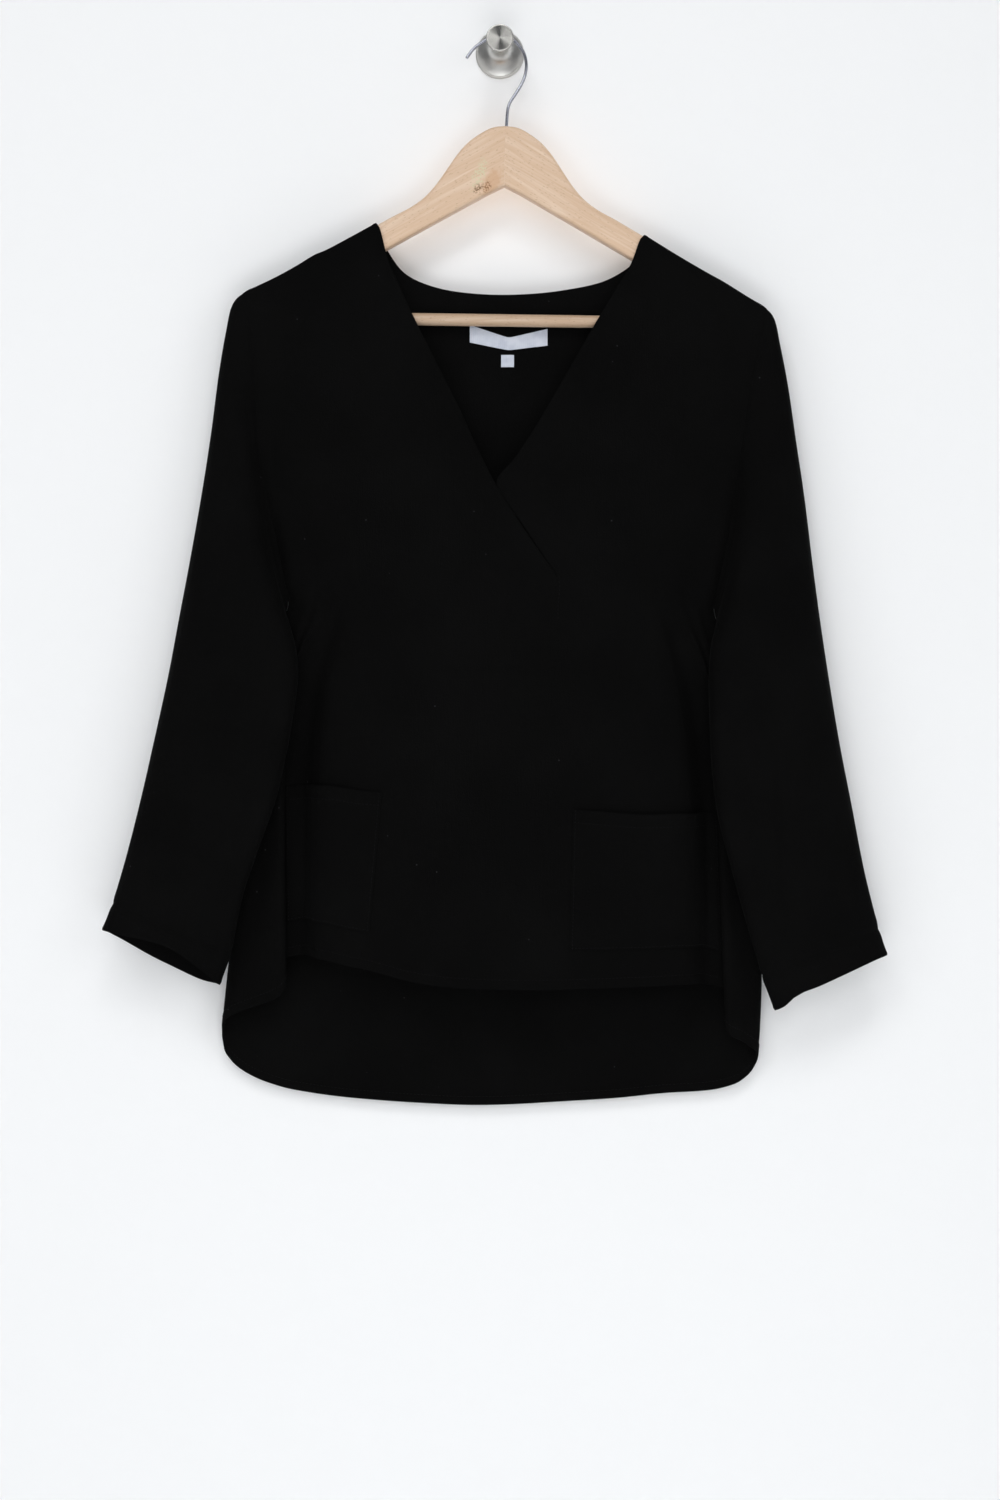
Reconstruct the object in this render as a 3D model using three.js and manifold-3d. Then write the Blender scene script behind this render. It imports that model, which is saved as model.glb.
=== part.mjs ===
// Wrap top of matte black crepe, on a beech hanger that hangs from a brushed steel wall hook.
// Millimetres. +Z is up, +X is the viewer's right and -Y faces the viewer. The origin is the centre of the
// wall plate's flat back, so the wall is the plane y = 0. Right and left in names are the wearer's: the
// wearer's right side is at -X.

import * as THREE from "three";
import { mergeVertices } from "three/addons/utils/BufferGeometryUtils.js";
import Module from "manifold-3d";

const wasm = await Module();
wasm.setup();

// Cloth
const CLOTH = 1.2;
const SEAM_GAP = 0.3;
// Four pieces meet sharply under each arm, so their rims ease apart there, over this reach
const UNDERARM = { ease: 1.1, reach: 50 };
const LAYER_STEP = CLOTH + SEAM_GAP + 0.2;

// Hanger: its middle plane, its apex, and how far it leans clockwise
const HANGER = { x: 4.5, y: -30, z: -69, lean: THREE.MathUtils.degToRad(1.5), thick: 12, edge: 3 };
const ARM_SLOPE = Math.tan(THREE.MathUtils.degToRad(29.9));
const BAR = { drop: -166, radius: 5.25, reach: 184, pegRadius: 3, pegReach: 198, tilt: 0.012 };
const WIRE = { radius: 1.4, socketFloor: -20 };
const FIT = 0.3;

// Wall hook, turned about the Y axis
const PLATE = { radius: 21, rim: 3, neckRadius: 6, neckEnd: 34.5 };
const KNOB = { radius: 11.7, from: 34.8, to: 50, rim: 2 };

// How the cloth rounds the top of a hanger arm: out from the arm's middle plane, and up from its top
const ROUNDING = [
  { out: 0, up: 1.9 },
  { out: 5.8, up: 0.9 },
  { out: 8, up: -4.5 },
];

// Rows of the panels above the chest line, as heights of the armhole seam's points from 0, at the
// underarm, to 1, at the shoulder. The last three go round the hanger arm.
const UPPER_ROWS = [0, 0.07, 0.155, 0.255, 0.365, 0.48, 0.6, 0.72, 0.835, 0.92, 0.972, 0.992, 1];
// Rows below the chest line, as drops from 0, at the chest, to 1, at the hem
const LOWER_ROWS = [0, 0.07, 0.15, 0.24, 0.33, 0.43, 0.53, 0.63, 0.72, 0.81, 0.9, 1];

// Armhole seams, from the underarm (rise 0) to the shoulder point (rise 1)
const ARMHOLE = {
  right: [
    { rise: 0, out: 180, z: -474, frontY: -29, backY: -29 },
    { rise: 0.07, out: 183, z: -458, frontY: -34, backY: -25 },
    { rise: 0.25, out: 194, z: -406, frontY: -37.5, backY: -21.5 },
    { rise: 0.5, out: 205.5, z: -343, frontY: -38.5, backY: -21 },
    { rise: 0.75, out: 208.5, z: -279, frontY: -38.5, backY: -21.5 },
    { rise: 0.92, out: 213.5, z: -234, frontY: -38, backY: -22 },
    { rise: 1, out: 219, z: -214, frontY: -38, backY: -22 },
  ],
  left: [
    { rise: 0, out: 182, z: -480, frontY: -29, backY: -29 },
    { rise: 0.07, out: 185, z: -464, frontY: -34, backY: -25 },
    { rise: 0.25, out: 195, z: -414, frontY: -37.5, backY: -21.5 },
    { rise: 0.5, out: 204, z: -352, frontY: -38.5, backY: -21 },
    { rise: 0.75, out: 213, z: -290, frontY: -38.5, backY: -21.5 },
    { rise: 0.92, out: 222, z: -246, frontY: -38, backY: -22 },
    { rise: 1, out: 227, z: -227, frontY: -38, backY: -22 },
  ],
};

// Front neck edges, from the wrap's end (rise 0) to the neck point on the shoulder (rise 1). The wearer's
// right edge lies over the left one from the V down to the wrap's end.
const NECK_EDGE = {
  right: [
    { rise: 0, x: 49, z: -456, y: -46 },
    { rise: 0.255, x: -3.4, z: -376.5, y: -43 },
    { rise: 0.48, x: -37, z: -306, y: -41 },
    { rise: 0.72, x: -73, z: -234, y: -39 },
    { rise: 0.92, x: -94, z: -183, y: -38 },
    { rise: 1, x: -104, z: -151, y: -38 },
  ],
  left: [
    { rise: 0, x: 49, z: -456, y: -46 },
    { rise: 0.255, x: -3.4, z: -376.5, y: -43 },
    { rise: 0.48, x: 31, z: -325, y: -41 },
    { rise: 0.72, x: 80, z: -240, y: -39 },
    { rise: 0.92, x: 111, z: -188, y: -38 },
    { rise: 1, x: 123.5, z: -162, y: -38 },
  ],
};
const V_RISE = 0.255;
const OVERLAP = 1.9;
const SLASH_OPEN = 0.25;

// The side of the body below the chest line. Going inwards from the side seam, the cloth lies flat to a
// ridge, turns back behind itself to a tuck, crosses a valley and comes forward to the face of the front.
// Distances out from x = 0, and depths y. fold is 0 where the cloth is still open and 1 in the full fold.
const SIDE_FOLD = {
  right: [
    { drop: 0, seam: 180, ridge: 172, tuck: 178, face: 128, seamY: -29, flankY: -30, ridgeY: -37, valleyY: -30, faceY: -41, fold: 0 },
    { drop: 0.15, seam: 196, ridge: 176, tuck: 184, face: 147, seamY: -22, flankY: -27, ridgeY: -33, valleyY: -26, faceY: -43, fold: 0.5 },
    { drop: 0.43, seam: 211, ridge: 183, tuck: 197, face: 157, seamY: -19, flankY: -28, ridgeY: -36, valleyY: -24, faceY: -48, fold: 0.95 },
    { drop: 0.72, seam: 225, ridge: 183, tuck: 200, face: 160, seamY: -18, flankY: -29, ridgeY: -38, valleyY: -23, faceY: -51, fold: 1 },
    { drop: 1, seam: 237, ridge: 182, tuck: 201, face: 161, seamY: -17, flankY: -30, ridgeY: -39, valleyY: -22, faceY: -53, fold: 1 },
  ],
  left: [
    { drop: 0, seam: 182, ridge: 174, tuck: 180, face: 134, seamY: -29, flankY: -30, ridgeY: -37, valleyY: -30, faceY: -41, fold: 0 },
    { drop: 0.15, seam: 197, ridge: 181, tuck: 187, face: 152, seamY: -22, flankY: -27, ridgeY: -33, valleyY: -26, faceY: -43, fold: 0.45 },
    { drop: 0.43, seam: 210, ridge: 185, tuck: 198, face: 163, seamY: -19, flankY: -28, ridgeY: -36, valleyY: -25, faceY: -48, fold: 0.9 },
    { drop: 0.72, seam: 218, ridge: 188, tuck: 202, face: 166, seamY: -18, flankY: -29, ridgeY: -38, valleyY: -24, faceY: -51, fold: 1 },
    { drop: 1, seam: 219, ridge: 192, tuck: 206, face: 167, seamY: -17, flankY: -30, ridgeY: -38, valleyY: -23, faceY: -53, fold: 1 },
  ],
};
const RIDGE_TURN = 3.2;
const TUCK_TURN = 3.5;

// Front hem heights at the named places of the side fold, and across the face at each x
const SIDE_HEM = {
  right: { seam: -842, flank: -820, ridge: -800, tuck: -787, valley: -776, face: -779 },
  left: { seam: -864, flank: -849, ridge: -838, tuck: -818, valley: -801, face: -799 },
};
const FACE_HEM = [
  { x: -155, z: -779 },
  { x: -113, z: -786 },
  { x: -60, z: -799 },
  { x: 0, z: -802.5 },
  { x: 50, z: -802.5 },
  { x: 160, z: -799 },
];
// The face of the front between the two side folds, by drop
const FACE_DEPTH = [
  { drop: 0, y: -46 },
  { drop: 0.43, y: -51 },
  { drop: 1, y: -58 },
];
const CHEST_Z = { right: -474, wrapEnd: -456, left: -480 };

// Pocket edges nearer the centre, by drop, and each pocket's top and bottom as drops
const POCKET_EDGE = {
  right: [
    { drop: 0, x: -88 },
    { drop: 0.53, x: -100 },
    { drop: 0.9, x: -110 },
    { drop: 1, x: -112 },
  ],
  left: [
    { drop: 0, x: 66 },
    { drop: 0.53, x: 62 },
    { drop: 0.9, x: 58.9 },
    { drop: 1, x: 58 },
  ],
};
const POCKET = {
  right: { top: 0.5, bottom: 0.9, outerColumn: 10 },
  left: { top: 0.56, bottom: 0.905, outerColumn: 10 },
};
const POCKET_ROWS = 4;
const POCKET_GAPE = 1.2;

// Columns from the side seam to the centre line: the fold's, from its brow to the pocket, and the rest
const FOLD_COLUMNS = 14;
const BROW_COLUMNS = { right: 2, left: 3 };
const CENTRE_COLUMNS = { right: 4, left: 1 };

// Back panel, by height
const BACK_DEPTH = [
  { z: -906, y: -8 },
  { z: -800, y: -10.5 },
  { z: -640, y: -13 },
  { z: -470, y: -17 },
  { z: -340, y: -20 },
  { z: -240, y: -22 },
  { z: -150, y: -22 },
];
const BACK_HEM = [
  { x: -237, z: -842 },
  { x: -234.5, z: -860 },
  { x: -226, z: -870.5 },
  { x: -205, z: -884 },
  { x: -158, z: -895.5 },
  { x: -102, z: -901 },
  { x: -52, z: -904.5 },
  { x: 0, z: -905.5 },
  { x: 90, z: -902 },
  { x: 162, z: -894.5 },
  { x: 198, z: -889.5 },
  { x: 212, z: -881 },
  { x: 219, z: -864 },
];
// Back neckline between the two neck points
const BACK_NECK = [
  { x: -98.5, z: -170, y: -22 },
  { x: -82, z: -193, y: -22 },
  { x: -55, z: -205.5, y: -22 },
  { x: -20, z: -211, y: -22 },
  { x: 18, z: -211.5, y: -22 },
  { x: 57, z: -207.5, y: -22 },
  { x: 92, z: -199, y: -22 },
  { x: 117, z: -182, y: -22 },
];
// Where the back neckline leaves the top of each arm: x beside the neck point, and the rounding's row
const NECK_TURN = [
  { inX: 0.8, row: 1 },
  { inX: 2.2, row: 2 },
];
const BACK_SHOULDER_COLUMNS = 7;

// Sleeve rings, by the sleeve's outer and inner edges. depth is half the ring's depth in y.
const SLEEVE = {
  right: [
    { outerX: -219, outerZ: -214, outerY: -30, innerX: -180, innerZ: -474, innerY: -29, depth: 8.7 },
    { outerX: -227.5, outerZ: -224, outerY: -30.5, innerX: -181.5, innerZ: -480.5, innerY: -32, depth: 10 },
    { outerX: -233, outerZ: -247, outerY: -31, innerX: -182, innerZ: -485, innerY: -40, depth: 12 },
    { outerX: -239, outerZ: -283, outerY: -32, innerX: -179.5, innerZ: -492, innerY: -46, depth: 14 },
    { outerX: -245, outerZ: -331, outerY: -34, innerX: -175.5, innerZ: -503, innerY: -52, depth: 16.5 },
    { outerX: -252.5, outerZ: -381, outerY: -36, innerX: -171.5, innerZ: -519, innerY: -57, depth: 18.5 },
    { outerX: -262, outerZ: -437, outerY: -38, innerX: -170, innerZ: -541, innerY: -60, depth: 20 },
    { outerX: -271.5, outerZ: -489, outerY: -40, innerX: -173.5, innerZ: -571, innerY: -62, depth: 20.5 },
    { outerX: -281, outerZ: -541, outerY: -42, innerX: -179.5, innerZ: -605, innerY: -61, depth: 20 },
    { outerX: -292, outerZ: -592, outerY: -43, innerX: -188.5, innerZ: -643, innerY: -60, depth: 19 },
    { outerX: -303, outerZ: -641, outerY: -44, innerX: -202, innerZ: -681, innerY: -57, depth: 17 },
    { outerX: -315, outerZ: -689, outerY: -45, innerX: -216, innerZ: -722, innerY: -54, depth: 15 },
    { outerX: -327, outerZ: -731, outerY: -46, innerX: -226.5, innerZ: -771, innerY: -51, depth: 13 },
  ],
  left: [
    { outerX: 227, outerZ: -227, outerY: -30, innerX: 182, innerZ: -480, innerY: -29, depth: 8.7 },
    { outerX: 233.5, outerZ: -237, outerY: -30.5, innerX: 183.5, innerZ: -486.5, innerY: -32, depth: 10 },
    { outerX: 238, outerZ: -257, outerY: -31, innerX: 184, innerZ: -491, innerY: -40, depth: 12 },
    { outerX: 244.5, outerZ: -291, outerY: -32, innerX: 182, innerZ: -498, innerY: -46, depth: 14 },
    { outerX: 251, outerZ: -337, outerY: -34, innerX: 179, innerZ: -509, innerY: -52, depth: 16.5 },
    { outerX: 257, outerZ: -386, outerY: -36, innerX: 176.5, innerZ: -526, innerY: -57, depth: 18.5 },
    { outerX: 263, outerZ: -440, outerY: -38, innerX: 175.5, innerZ: -551, innerY: -60, depth: 20 },
    { outerX: 269.5, outerZ: -491, outerY: -40, innerX: 176, innerZ: -583, innerY: -62, depth: 20.5 },
    { outerX: 277, outerZ: -543, outerY: -42, innerX: 178, innerZ: -619, innerY: -61, depth: 20 },
    { outerX: 285.5, outerZ: -595, outerY: -43, innerX: 183, innerZ: -657, innerY: -60, depth: 19 },
    { outerX: 296, outerZ: -648, outerY: -44, innerX: 193, innerZ: -695, innerY: -57, depth: 17 },
    { outerX: 307.5, outerZ: -703, outerY: -45, innerX: 206, innerZ: -742, innerY: -54, depth: 15 },
    { outerX: 319.5, outerZ: -752, outerY: -46, innerX: 221, innerZ: -791.5, innerY: -51, depth: 13 },
  ],
};
// How much of the armhole's own outline the first rings keep
const ARMHOLE_KEEP = [1, 0.8, 0.5, 0.25, 0.1];
const SLEEVE_SQUARENESS = 2.3;
const CUFF = {
  right: { outerX: -336, outerZ: -753, outerY: -46.5, innerX: -236.5, innerZ: -799, innerY: -50, depth: 13 },
  left: { outerX: 327, outerZ: -774, outerY: -46.5, innerX: 232, innerZ: -820.5, innerY: -50, depth: 13 },
};
const CUFF_ROWS = 2;

// Underlap corners below the V, lying behind the front
const UNDERLAP = [
  { x: -67.5, z: -467.5 },
  { x: -62, z: -530 },
  { x: 47, z: -531 },
];
const UNDERLAP_STEPS = { across: 4, down: 4 };
const UNDERLAP_SLACK = 0.4;

// Neck label and its size tab: along x, height, and how far the middle sags below the ends
const LABEL = { fromX: -25.8, toX: 40.6, topZ: -239, height: 15.4, sag: 7, columns: 8 };
const TAB = { fromX: 1, toX: 12, topZ: -263.2, height: 10.4 };
const LABEL_THICK = 1;
const LABEL_CLEAR = 0.3;

const clothBlack = () => new THREE.MeshStandardMaterial({ color: 0x0e0e0f, roughness: 0.92, metalness: 0 });
const labelWhite = () => new THREE.MeshStandardMaterial({ color: 0xe9ebee, roughness: 0.7, metalness: 0 });
const beech = () => new THREE.MeshStandardMaterial({ color: 0xd8ab7d, roughness: 0.55, metalness: 0 });
const chrome = () => new THREE.MeshStandardMaterial({ color: 0xb9bbbd, roughness: 0.18, metalness: 1 });
const steel = () => new THREE.MeshStandardMaterial({ color: 0xa8a7a4, roughness: 0.34, metalness: 1 });

const mix = (a, b, t) => a + (b - a) * t;
const mixPoint = (a, b, t) => a.clone().lerp(b, t);
const smooth = (t) => t * t * (3 - 2 * t);
const outward = (side) => (side === "right" ? -1 : 1);

/** A smooth value of one column of a table, at a place along its first named column. */
function along(rows, by, key, at) {
  const last = rows.length - 1;
  const place = THREE.MathUtils.clamp(at, Math.min(rows[0][by], rows[last][by]), Math.max(rows[0][by], rows[last][by]));
  let i = 0;
  while (i < last - 1 && (place - rows[i + 1][by]) * (rows[last][by] - rows[0][by]) > 0) i += 1;
  const slope = (k) => {
    const low = Math.max(k - 1, 0);
    const high = Math.min(k + 1, last);
    return (rows[high][key] - rows[low][key]) / (rows[high][by] - rows[low][by]);
  };
  const span = rows[i + 1][by] - rows[i][by];
  const t = (place - rows[i][by]) / span;
  const bend = (1 - t) * t * span;
  const straight = mix(rows[i][key], rows[i + 1][key], smooth(t));
  return straight + bend * ((1 - t) * slope(i) - t * slope(i + 1));
}

/** A point on the hanger, given along it and down from its apex, in the part's frame. */
function onHanger(run, drop) {
  const { x, y, z, lean } = HANGER;
  const point = new THREE.Vector3(run, 0, drop).applyAxisAngle(new THREE.Vector3(0, 1, 0), lean);
  return point.add(new THREE.Vector3(x, y, z));
}

// Top edge of an arm, from the apex to where it runs straight, and its lower edge and tip
const ARM_TOP = [
  { run: 0, drop: 0 },
  { run: 10, drop: -1.2 },
  { run: 19, drop: -5.4 },
  { run: 31, drop: -14 },
  { run: 40.5, drop: -24.7 },
  { run: 49.3, drop: -37.7 },
  { run: 58, drop: -50.3 },
  { run: 67.5, drop: -61.2 },
  { run: 79.5, drop: -70.2 },
  { run: 95.5, drop: -78.8 },
  { run: 112, drop: -88.3 },
];
const ARM_TIP = [
  { run: 212, drop: -145.8 },
  { run: 219, drop: -152 },
  { run: 222, drop: -162 },
  { run: 217, drop: -173 },
  { run: 205, drop: -178 },
  { run: 193, drop: -174 },
  { run: 187, drop: -163 },
  { run: 180, drop: -152 },
];
const ARM_BOTTOM = [
  { run: 107, drop: -110.8 },
  { run: 52, drop: -79.5 },
  { run: 14, drop: -58 },
  { run: 0, drop: -51 },
];

/** Height of an arm's top edge at a distance out from the apex. */
function armTop(run) {
  const end = ARM_TOP[ARM_TOP.length - 1];
  if (run >= end.run) return end.drop - (run - end.run) * ARM_SLOPE;
  return along(ARM_TOP, "run", "drop", run);
}

/** Height of the top of the hanger arm under a point of the shoulder, in the part's frame. */
function shoulderTop(x) {
  const side = Math.sign(x - HANGER.x);
  let run = Math.abs(x - HANGER.x);
  for (let pass = 0; pass < 3; pass += 1) run += (x - onHanger(side * run, armTop(run)).x) * side;
  return onHanger(side * run, armTop(run)).z;
}

/** A point of cloth over the arm's top: row 0 is the shoulder seam and row 2 hangs free. */
function overArm(x, row, face) {
  const { out, up } = ROUNDING[row];
  return new THREE.Vector3(x, HANGER.y + face * out, shoulderTop(x) + up);
}

/** A sheet of cloth by its middle surface: points, and the faces between them. */
class Sheet {
  constructor() {
    this.points = [];
    this.faces = [];
  }

  /** Adds rows of points and returns their numbers. */
  addRows(rows) {
    return rows.map((row) => row.map((point) => this.points.push(point) - 1));
  }

  /** Faces the cells between rows of point numbers. closed joins each row's end to its start. */
  weave(rows, closed = false) {
    for (let i = 0; i + 1 < rows.length; i += 1) {
      const columns = rows[i].length - (closed ? 0 : 1);
      for (let j = 0; j < columns; j += 1) {
        const k = (j + 1) % rows[i].length;
        const [a, b, c, d] = [rows[i][j], rows[i][k], rows[i + 1][k], rows[i + 1][j]];
        this.faces.push([a, b, c], [a, c, d]);
      }
    }
    return this;
  }

  /** Edges that only one face has, in that face's direction. */
  rim() {
    const count = new Set();
    for (const [a, b, c] of this.faces) for (const e of [[a, b], [b, c], [c, a]]) count.add(e.join());
    return [...count].map((e) => e.split(",").map(Number)).filter(([a, b]) => !count.has(`${b},${a}`));
  }

  /** Area-weighted normal of each face. */
  faceNormals() {
    return this.faces.map(([a, b, c]) => {
      const ab = this.points[b].clone().sub(this.points[a]);
      return ab.cross(this.points[c].clone().sub(this.points[a]));
    });
  }
}

const placeKey = (p) => [p.x, p.y, p.z].map((v) => Math.round(v * 1000)).join();

/** Normals of sheets that are sewn together, the same on both sides of each seam. */
function sewnNormals(sheets) {
  const sums = new Map();
  for (const sheet of sheets) {
    const normals = sheet.faceNormals();
    sheet.faces.forEach((face, f) => {
      for (const corner of face) {
        const key = placeKey(sheet.points[corner]);
        if (!sums.has(key)) sums.set(key, new THREE.Vector3());
        sums.get(key).add(normals[f]);
      }
    });
  }
  return sheets.map((sheet) => sheet.points.map((p) => sums.get(placeKey(p)).clone().normalize()));
}

/** How far a seam's point draws in: half the seam gap, and more close to an underarm. */
function seamEase(point) {
  const far = ["right", "left"].map((side) => point.distanceTo(armholePoint(side, 0, 1)));
  return SEAM_GAP / 2 + UNDERARM.ease * Math.max(0, 1 - Math.min(...far) / UNDERARM.reach);
}

/** Draws a sheet's rim in, so that sewn pieces stay just apart. */
function drawIn(sheet, normals) {
  const moves = new Map();
  for (const [a, b] of sheet.rim()) {
    const edge = sheet.points[b].clone().sub(sheet.points[a]).normalize();
    for (const end of [a, b]) {
      if (!moves.has(end)) moves.set(end, new THREE.Vector3());
      moves.get(end).add(normals[end].clone().cross(edge));
    }
  }
  for (const [end, move] of moves) {
    const point = sheet.points[end];
    sheet.points[end] = point.clone().addScaledVector(move.normalize(), seamEase(point));
  }
}

/** A closed wall of even thickness on both sides of a sheet. */
function wall(sheet, normals, thick) {
  const count = sheet.points.length;
  const positions = [];
  for (const side of [0.5, -0.5]) {
    sheet.points.forEach((p, i) => positions.push(...p.clone().addScaledVector(normals[i], side * thick).toArray()));
  }
  const index = [];
  for (const [a, b, c] of sheet.faces) index.push(a, b, c, a + count, c + count, b + count);
  for (const [a, b] of sheet.rim()) index.push(a, a + count, b + count, a, b + count, b);
  const geometry = new THREE.BufferGeometry();
  geometry.setAttribute("position", new THREE.Float32BufferAttribute(positions, 3));
  geometry.setIndex(index);
  geometry.computeVertexNormals();
  return geometry;
}

function named(name, geometry, material) {
  const mesh = new THREE.Mesh(geometry, material);
  mesh.name = name;
  return mesh;
}

/** The armhole seam's point in an upper row, on the front or the back. */
function armholePoint(side, row, face) {
  const table = ARMHOLE[side];
  const rise = UPPER_ROWS[row];
  const x = outward(side) * along(table, "rise", "out", rise);
  const fromTop = UPPER_ROWS.length - 1 - row;
  if (fromTop < ROUNDING.length) return overArm(x, fromTop, face);
  const y = along(table, "rise", face < 0 ? "frontY" : "backY", rise);
  return new THREE.Vector3(x, y, along(table, "rise", "z", rise));
}

/** The front neck edge's point in an upper row. */
function neckPoint(side, row) {
  const table = NECK_EDGE[side];
  const rise = UPPER_ROWS[row];
  const x = along(table, "rise", "x", rise);
  const fromTop = UPPER_ROWS.length - 1 - row;
  if (fromTop < ROUNDING.length) return overArm(x, fromTop, -1);
  const point = new THREE.Vector3(x, along(table, "rise", "y", rise), along(table, "rise", "z", rise));
  if (side === "left") {
    const onSlash = THREE.MathUtils.clamp(rise / V_RISE, 0, 1);
    if (rise < V_RISE) {
      point.x = mix(NECK_EDGE.left[0].x, NECK_EDGE.left[1].x, onSlash);
      point.z = mix(NECK_EDGE.left[0].z, NECK_EDGE.left[1].z, onSlash);
    }
    if (rise > 0) point.x += SLASH_OPEN;
    return point;
  }
  const fadeNear = Math.min(rise / UPPER_ROWS[1], 1);
  const fadeFar = 1 - smooth(THREE.MathUtils.clamp((rise - V_RISE) / (1 - V_RISE), 0, 1));
  point.y -= OVERLAP * fadeNear * fadeFar;
  return point;
}

/** Points across one half of the front below the chest line, from the side seam to the centre line. */
function lowerFrontRow(side, drop) {
  const s = outward(side);
  const table = SIDE_FOLD[side];
  const at = {};
  for (const key of Object.keys(table[0])) if (key !== "drop") at[key] = along(table, "drop", key, drop);
  const turnY = at.seamY - 5;
  const folded = [
    [at.seam, at.seamY],
    [at.seam - 1.5, turnY],
    [at.seam - 8, mix(turnY, at.flankY, 0.7)],
    [mix(at.seam, at.ridge, 0.5), at.flankY],
    [at.ridge + 5, at.ridgeY],
    [at.ridge, at.ridgeY + RIDGE_TURN],
    [at.ridge + 5, at.ridgeY + 2 * RIDGE_TURN],
    [at.tuck - 4, at.valleyY - 2 * TUCK_TURN],
    [at.tuck, at.valleyY - TUCK_TURN],
    [at.tuck - 5, at.valleyY],
    [at.ridge, at.valleyY + 0.5],
    [at.face + 9, at.valleyY - 1],
    [at.face + 3.5, mix(at.valleyY, at.faceY, 0.45)],
    [at.face - 0.5, mix(at.valleyY, at.faceY, 0.88)],
    [at.face - 8, at.faceY],
  ];
  const hem = SIDE_HEM[side];
  const hemStops = [
    { column: 0, z: hem.seam },
    { column: 3, z: hem.flank },
    { column: 5, z: hem.ridge },
    { column: 8, z: hem.tuck },
    { column: 11, z: hem.valley },
    { column: FOLD_COLUMNS, z: hem.face },
  ];
  const chestZ = (x) => mix(CHEST_Z.wrapEnd, CHEST_Z[side], Math.abs(x - NECK_EDGE.right[0].x) / (200 + s * -50));
  const row = folded.map(([out, y], column) => {
    const t = column / FOLD_COLUMNS;
    const openOut = mix(at.seam, at.face - 8, t);
    const openY = mix(at.seamY, at.faceY, Math.sin((t * Math.PI) / 2));
    const x = s * mix(openOut, out, at.fold);
    const openX = s * mix(table[0].seam, table[0].face - 8, t);
    const z = mix(mix(CHEST_Z[side], chestZ(openX), t), along(hemStops, "column", "z", column), drop);
    return new THREE.Vector3(x, mix(openY, y, at.fold), z);
  });
  const brow = row[FOLD_COLUMNS];
  const pocketX = along(POCKET_EDGE[side], "drop", "x", drop);
  const centreX = NECK_EDGE.right[0].x;
  const facePoint = (x) => {
    const t = THREE.MathUtils.clamp((x - brow.x) / (centreX - brow.x), 0, 1);
    const y = mix(brow.y, along(FACE_DEPTH, "drop", "y", drop), Math.sin((t * Math.PI) / 2));
    return new THREE.Vector3(x, y, mix(chestZ(x), along(FACE_HEM, "x", "z", x), drop));
  };
  for (let k = 1; k <= BROW_COLUMNS[side]; k += 1) row.push(facePoint(mix(brow.x, pocketX, k / BROW_COLUMNS[side])));
  for (let k = 1; k <= CENTRE_COLUMNS[side]; k += 1) row.push(facePoint(mix(pocketX, centreX, k / CENTRE_COLUMNS[side])));
  return row;
}

/** Points across one half of the front above the chest line, from the armhole to the neck edge. */
function upperFrontRow(side, row) {
  const chest = lowerFrontRow(side, 0);
  const last = chest.length - 1;
  const outer = armholePoint(side, row, -1);
  const inner = neckPoint(side, row);
  const rise = UPPER_ROWS[row];
  const fromTop = UPPER_ROWS.length - 1 - row;
  const chestSpan = chest[last].x - chest[0].x;
  return chest.map((start, column) => {
    if (column === 0) return outer;
    if (column === last) return inner;
    const even = column / last;
    const t = mix((start.x - chest[0].x) / chestSpan, even, smooth(rise));
    const x = mix(outer.x, inner.x, t);
    if (fromTop < ROUNDING.length) return overArm(x, fromTop, -1);
    const flat = mixPoint(outer, inner, t);
    const crown = start.y - mix(chest[0].y, chest[last].y, (start.x - chest[0].x) / chestSpan);
    flat.y += crown * (1 - smooth(rise));
    return flat;
  });
}

/** The front: two halves that share the centre line below the wrap's end and part above it. */
function frontSheet() {
  const sheet = new Sheet();
  const grid = {};
  for (const side of ["right", "left"]) {
    const lower = LOWER_ROWS.map((drop) => lowerFrontRow(side, drop)).reverse();
    const upper = UPPER_ROWS.map((_, row) => upperFrontRow(side, row)).slice(1);
    lower[lower.length - 1][0] = armholePoint(side, 0, -1);
    grid[side] = sheet.addRows([...lower, ...upper]);
  }
  grid.left.slice(0, LOWER_ROWS.length).forEach((row, i) => {
    row[row.length - 1] = grid.right[i][grid.right[i].length - 1];
  });
  sheet.weave(grid.right);
  sheet.weave(grid.left.map((row) => [...row].reverse()));
  return compact(sheet);
}

/** The same sheet without the points that no face uses. */
function compact(sheet) {
  const used = [...new Set(sheet.faces.flat())].sort((a, b) => a - b);
  const renumber = new Map(used.map((old, now) => [old, now]));
  const packed = new Sheet();
  packed.points = used.map((old) => sheet.points[old]);
  packed.faces = sheet.faces.map((face) => face.map((corner) => renumber.get(corner)));
  return packed;
}

const backY = (z) => along(BACK_DEPTH, "z", "y", z);

/** The top row of the back: shoulder, neckline, shoulder. */
function backTopRow() {
  const seam = (side) => {
    const from = armholePoint(side, UPPER_ROWS.length - 1, 1).x;
    const to = NECK_EDGE[side][NECK_EDGE[side].length - 1].x;
    const xs = Array.from({ length: BACK_SHOULDER_COLUMNS + 1 }, (_, k) => mix(from, to, k / BACK_SHOULDER_COLUMNS));
    return xs.map((x) => overArm(x, 0, 1));
  };
  const turn = (side) =>
    NECK_TURN.map(({ inX, row }) => {
      const edge = NECK_EDGE[side][NECK_EDGE[side].length - 1];
      return overArm(edge.x - outward(side) * inX, row, 1);
    });
  const neck = BACK_NECK.map(({ x, y, z }) => new THREE.Vector3(x, y, z));
  return [...seam("right"), ...turn("right"), ...neck, ...turn("left").reverse(), ...seam("left").reverse()];
}

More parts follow.
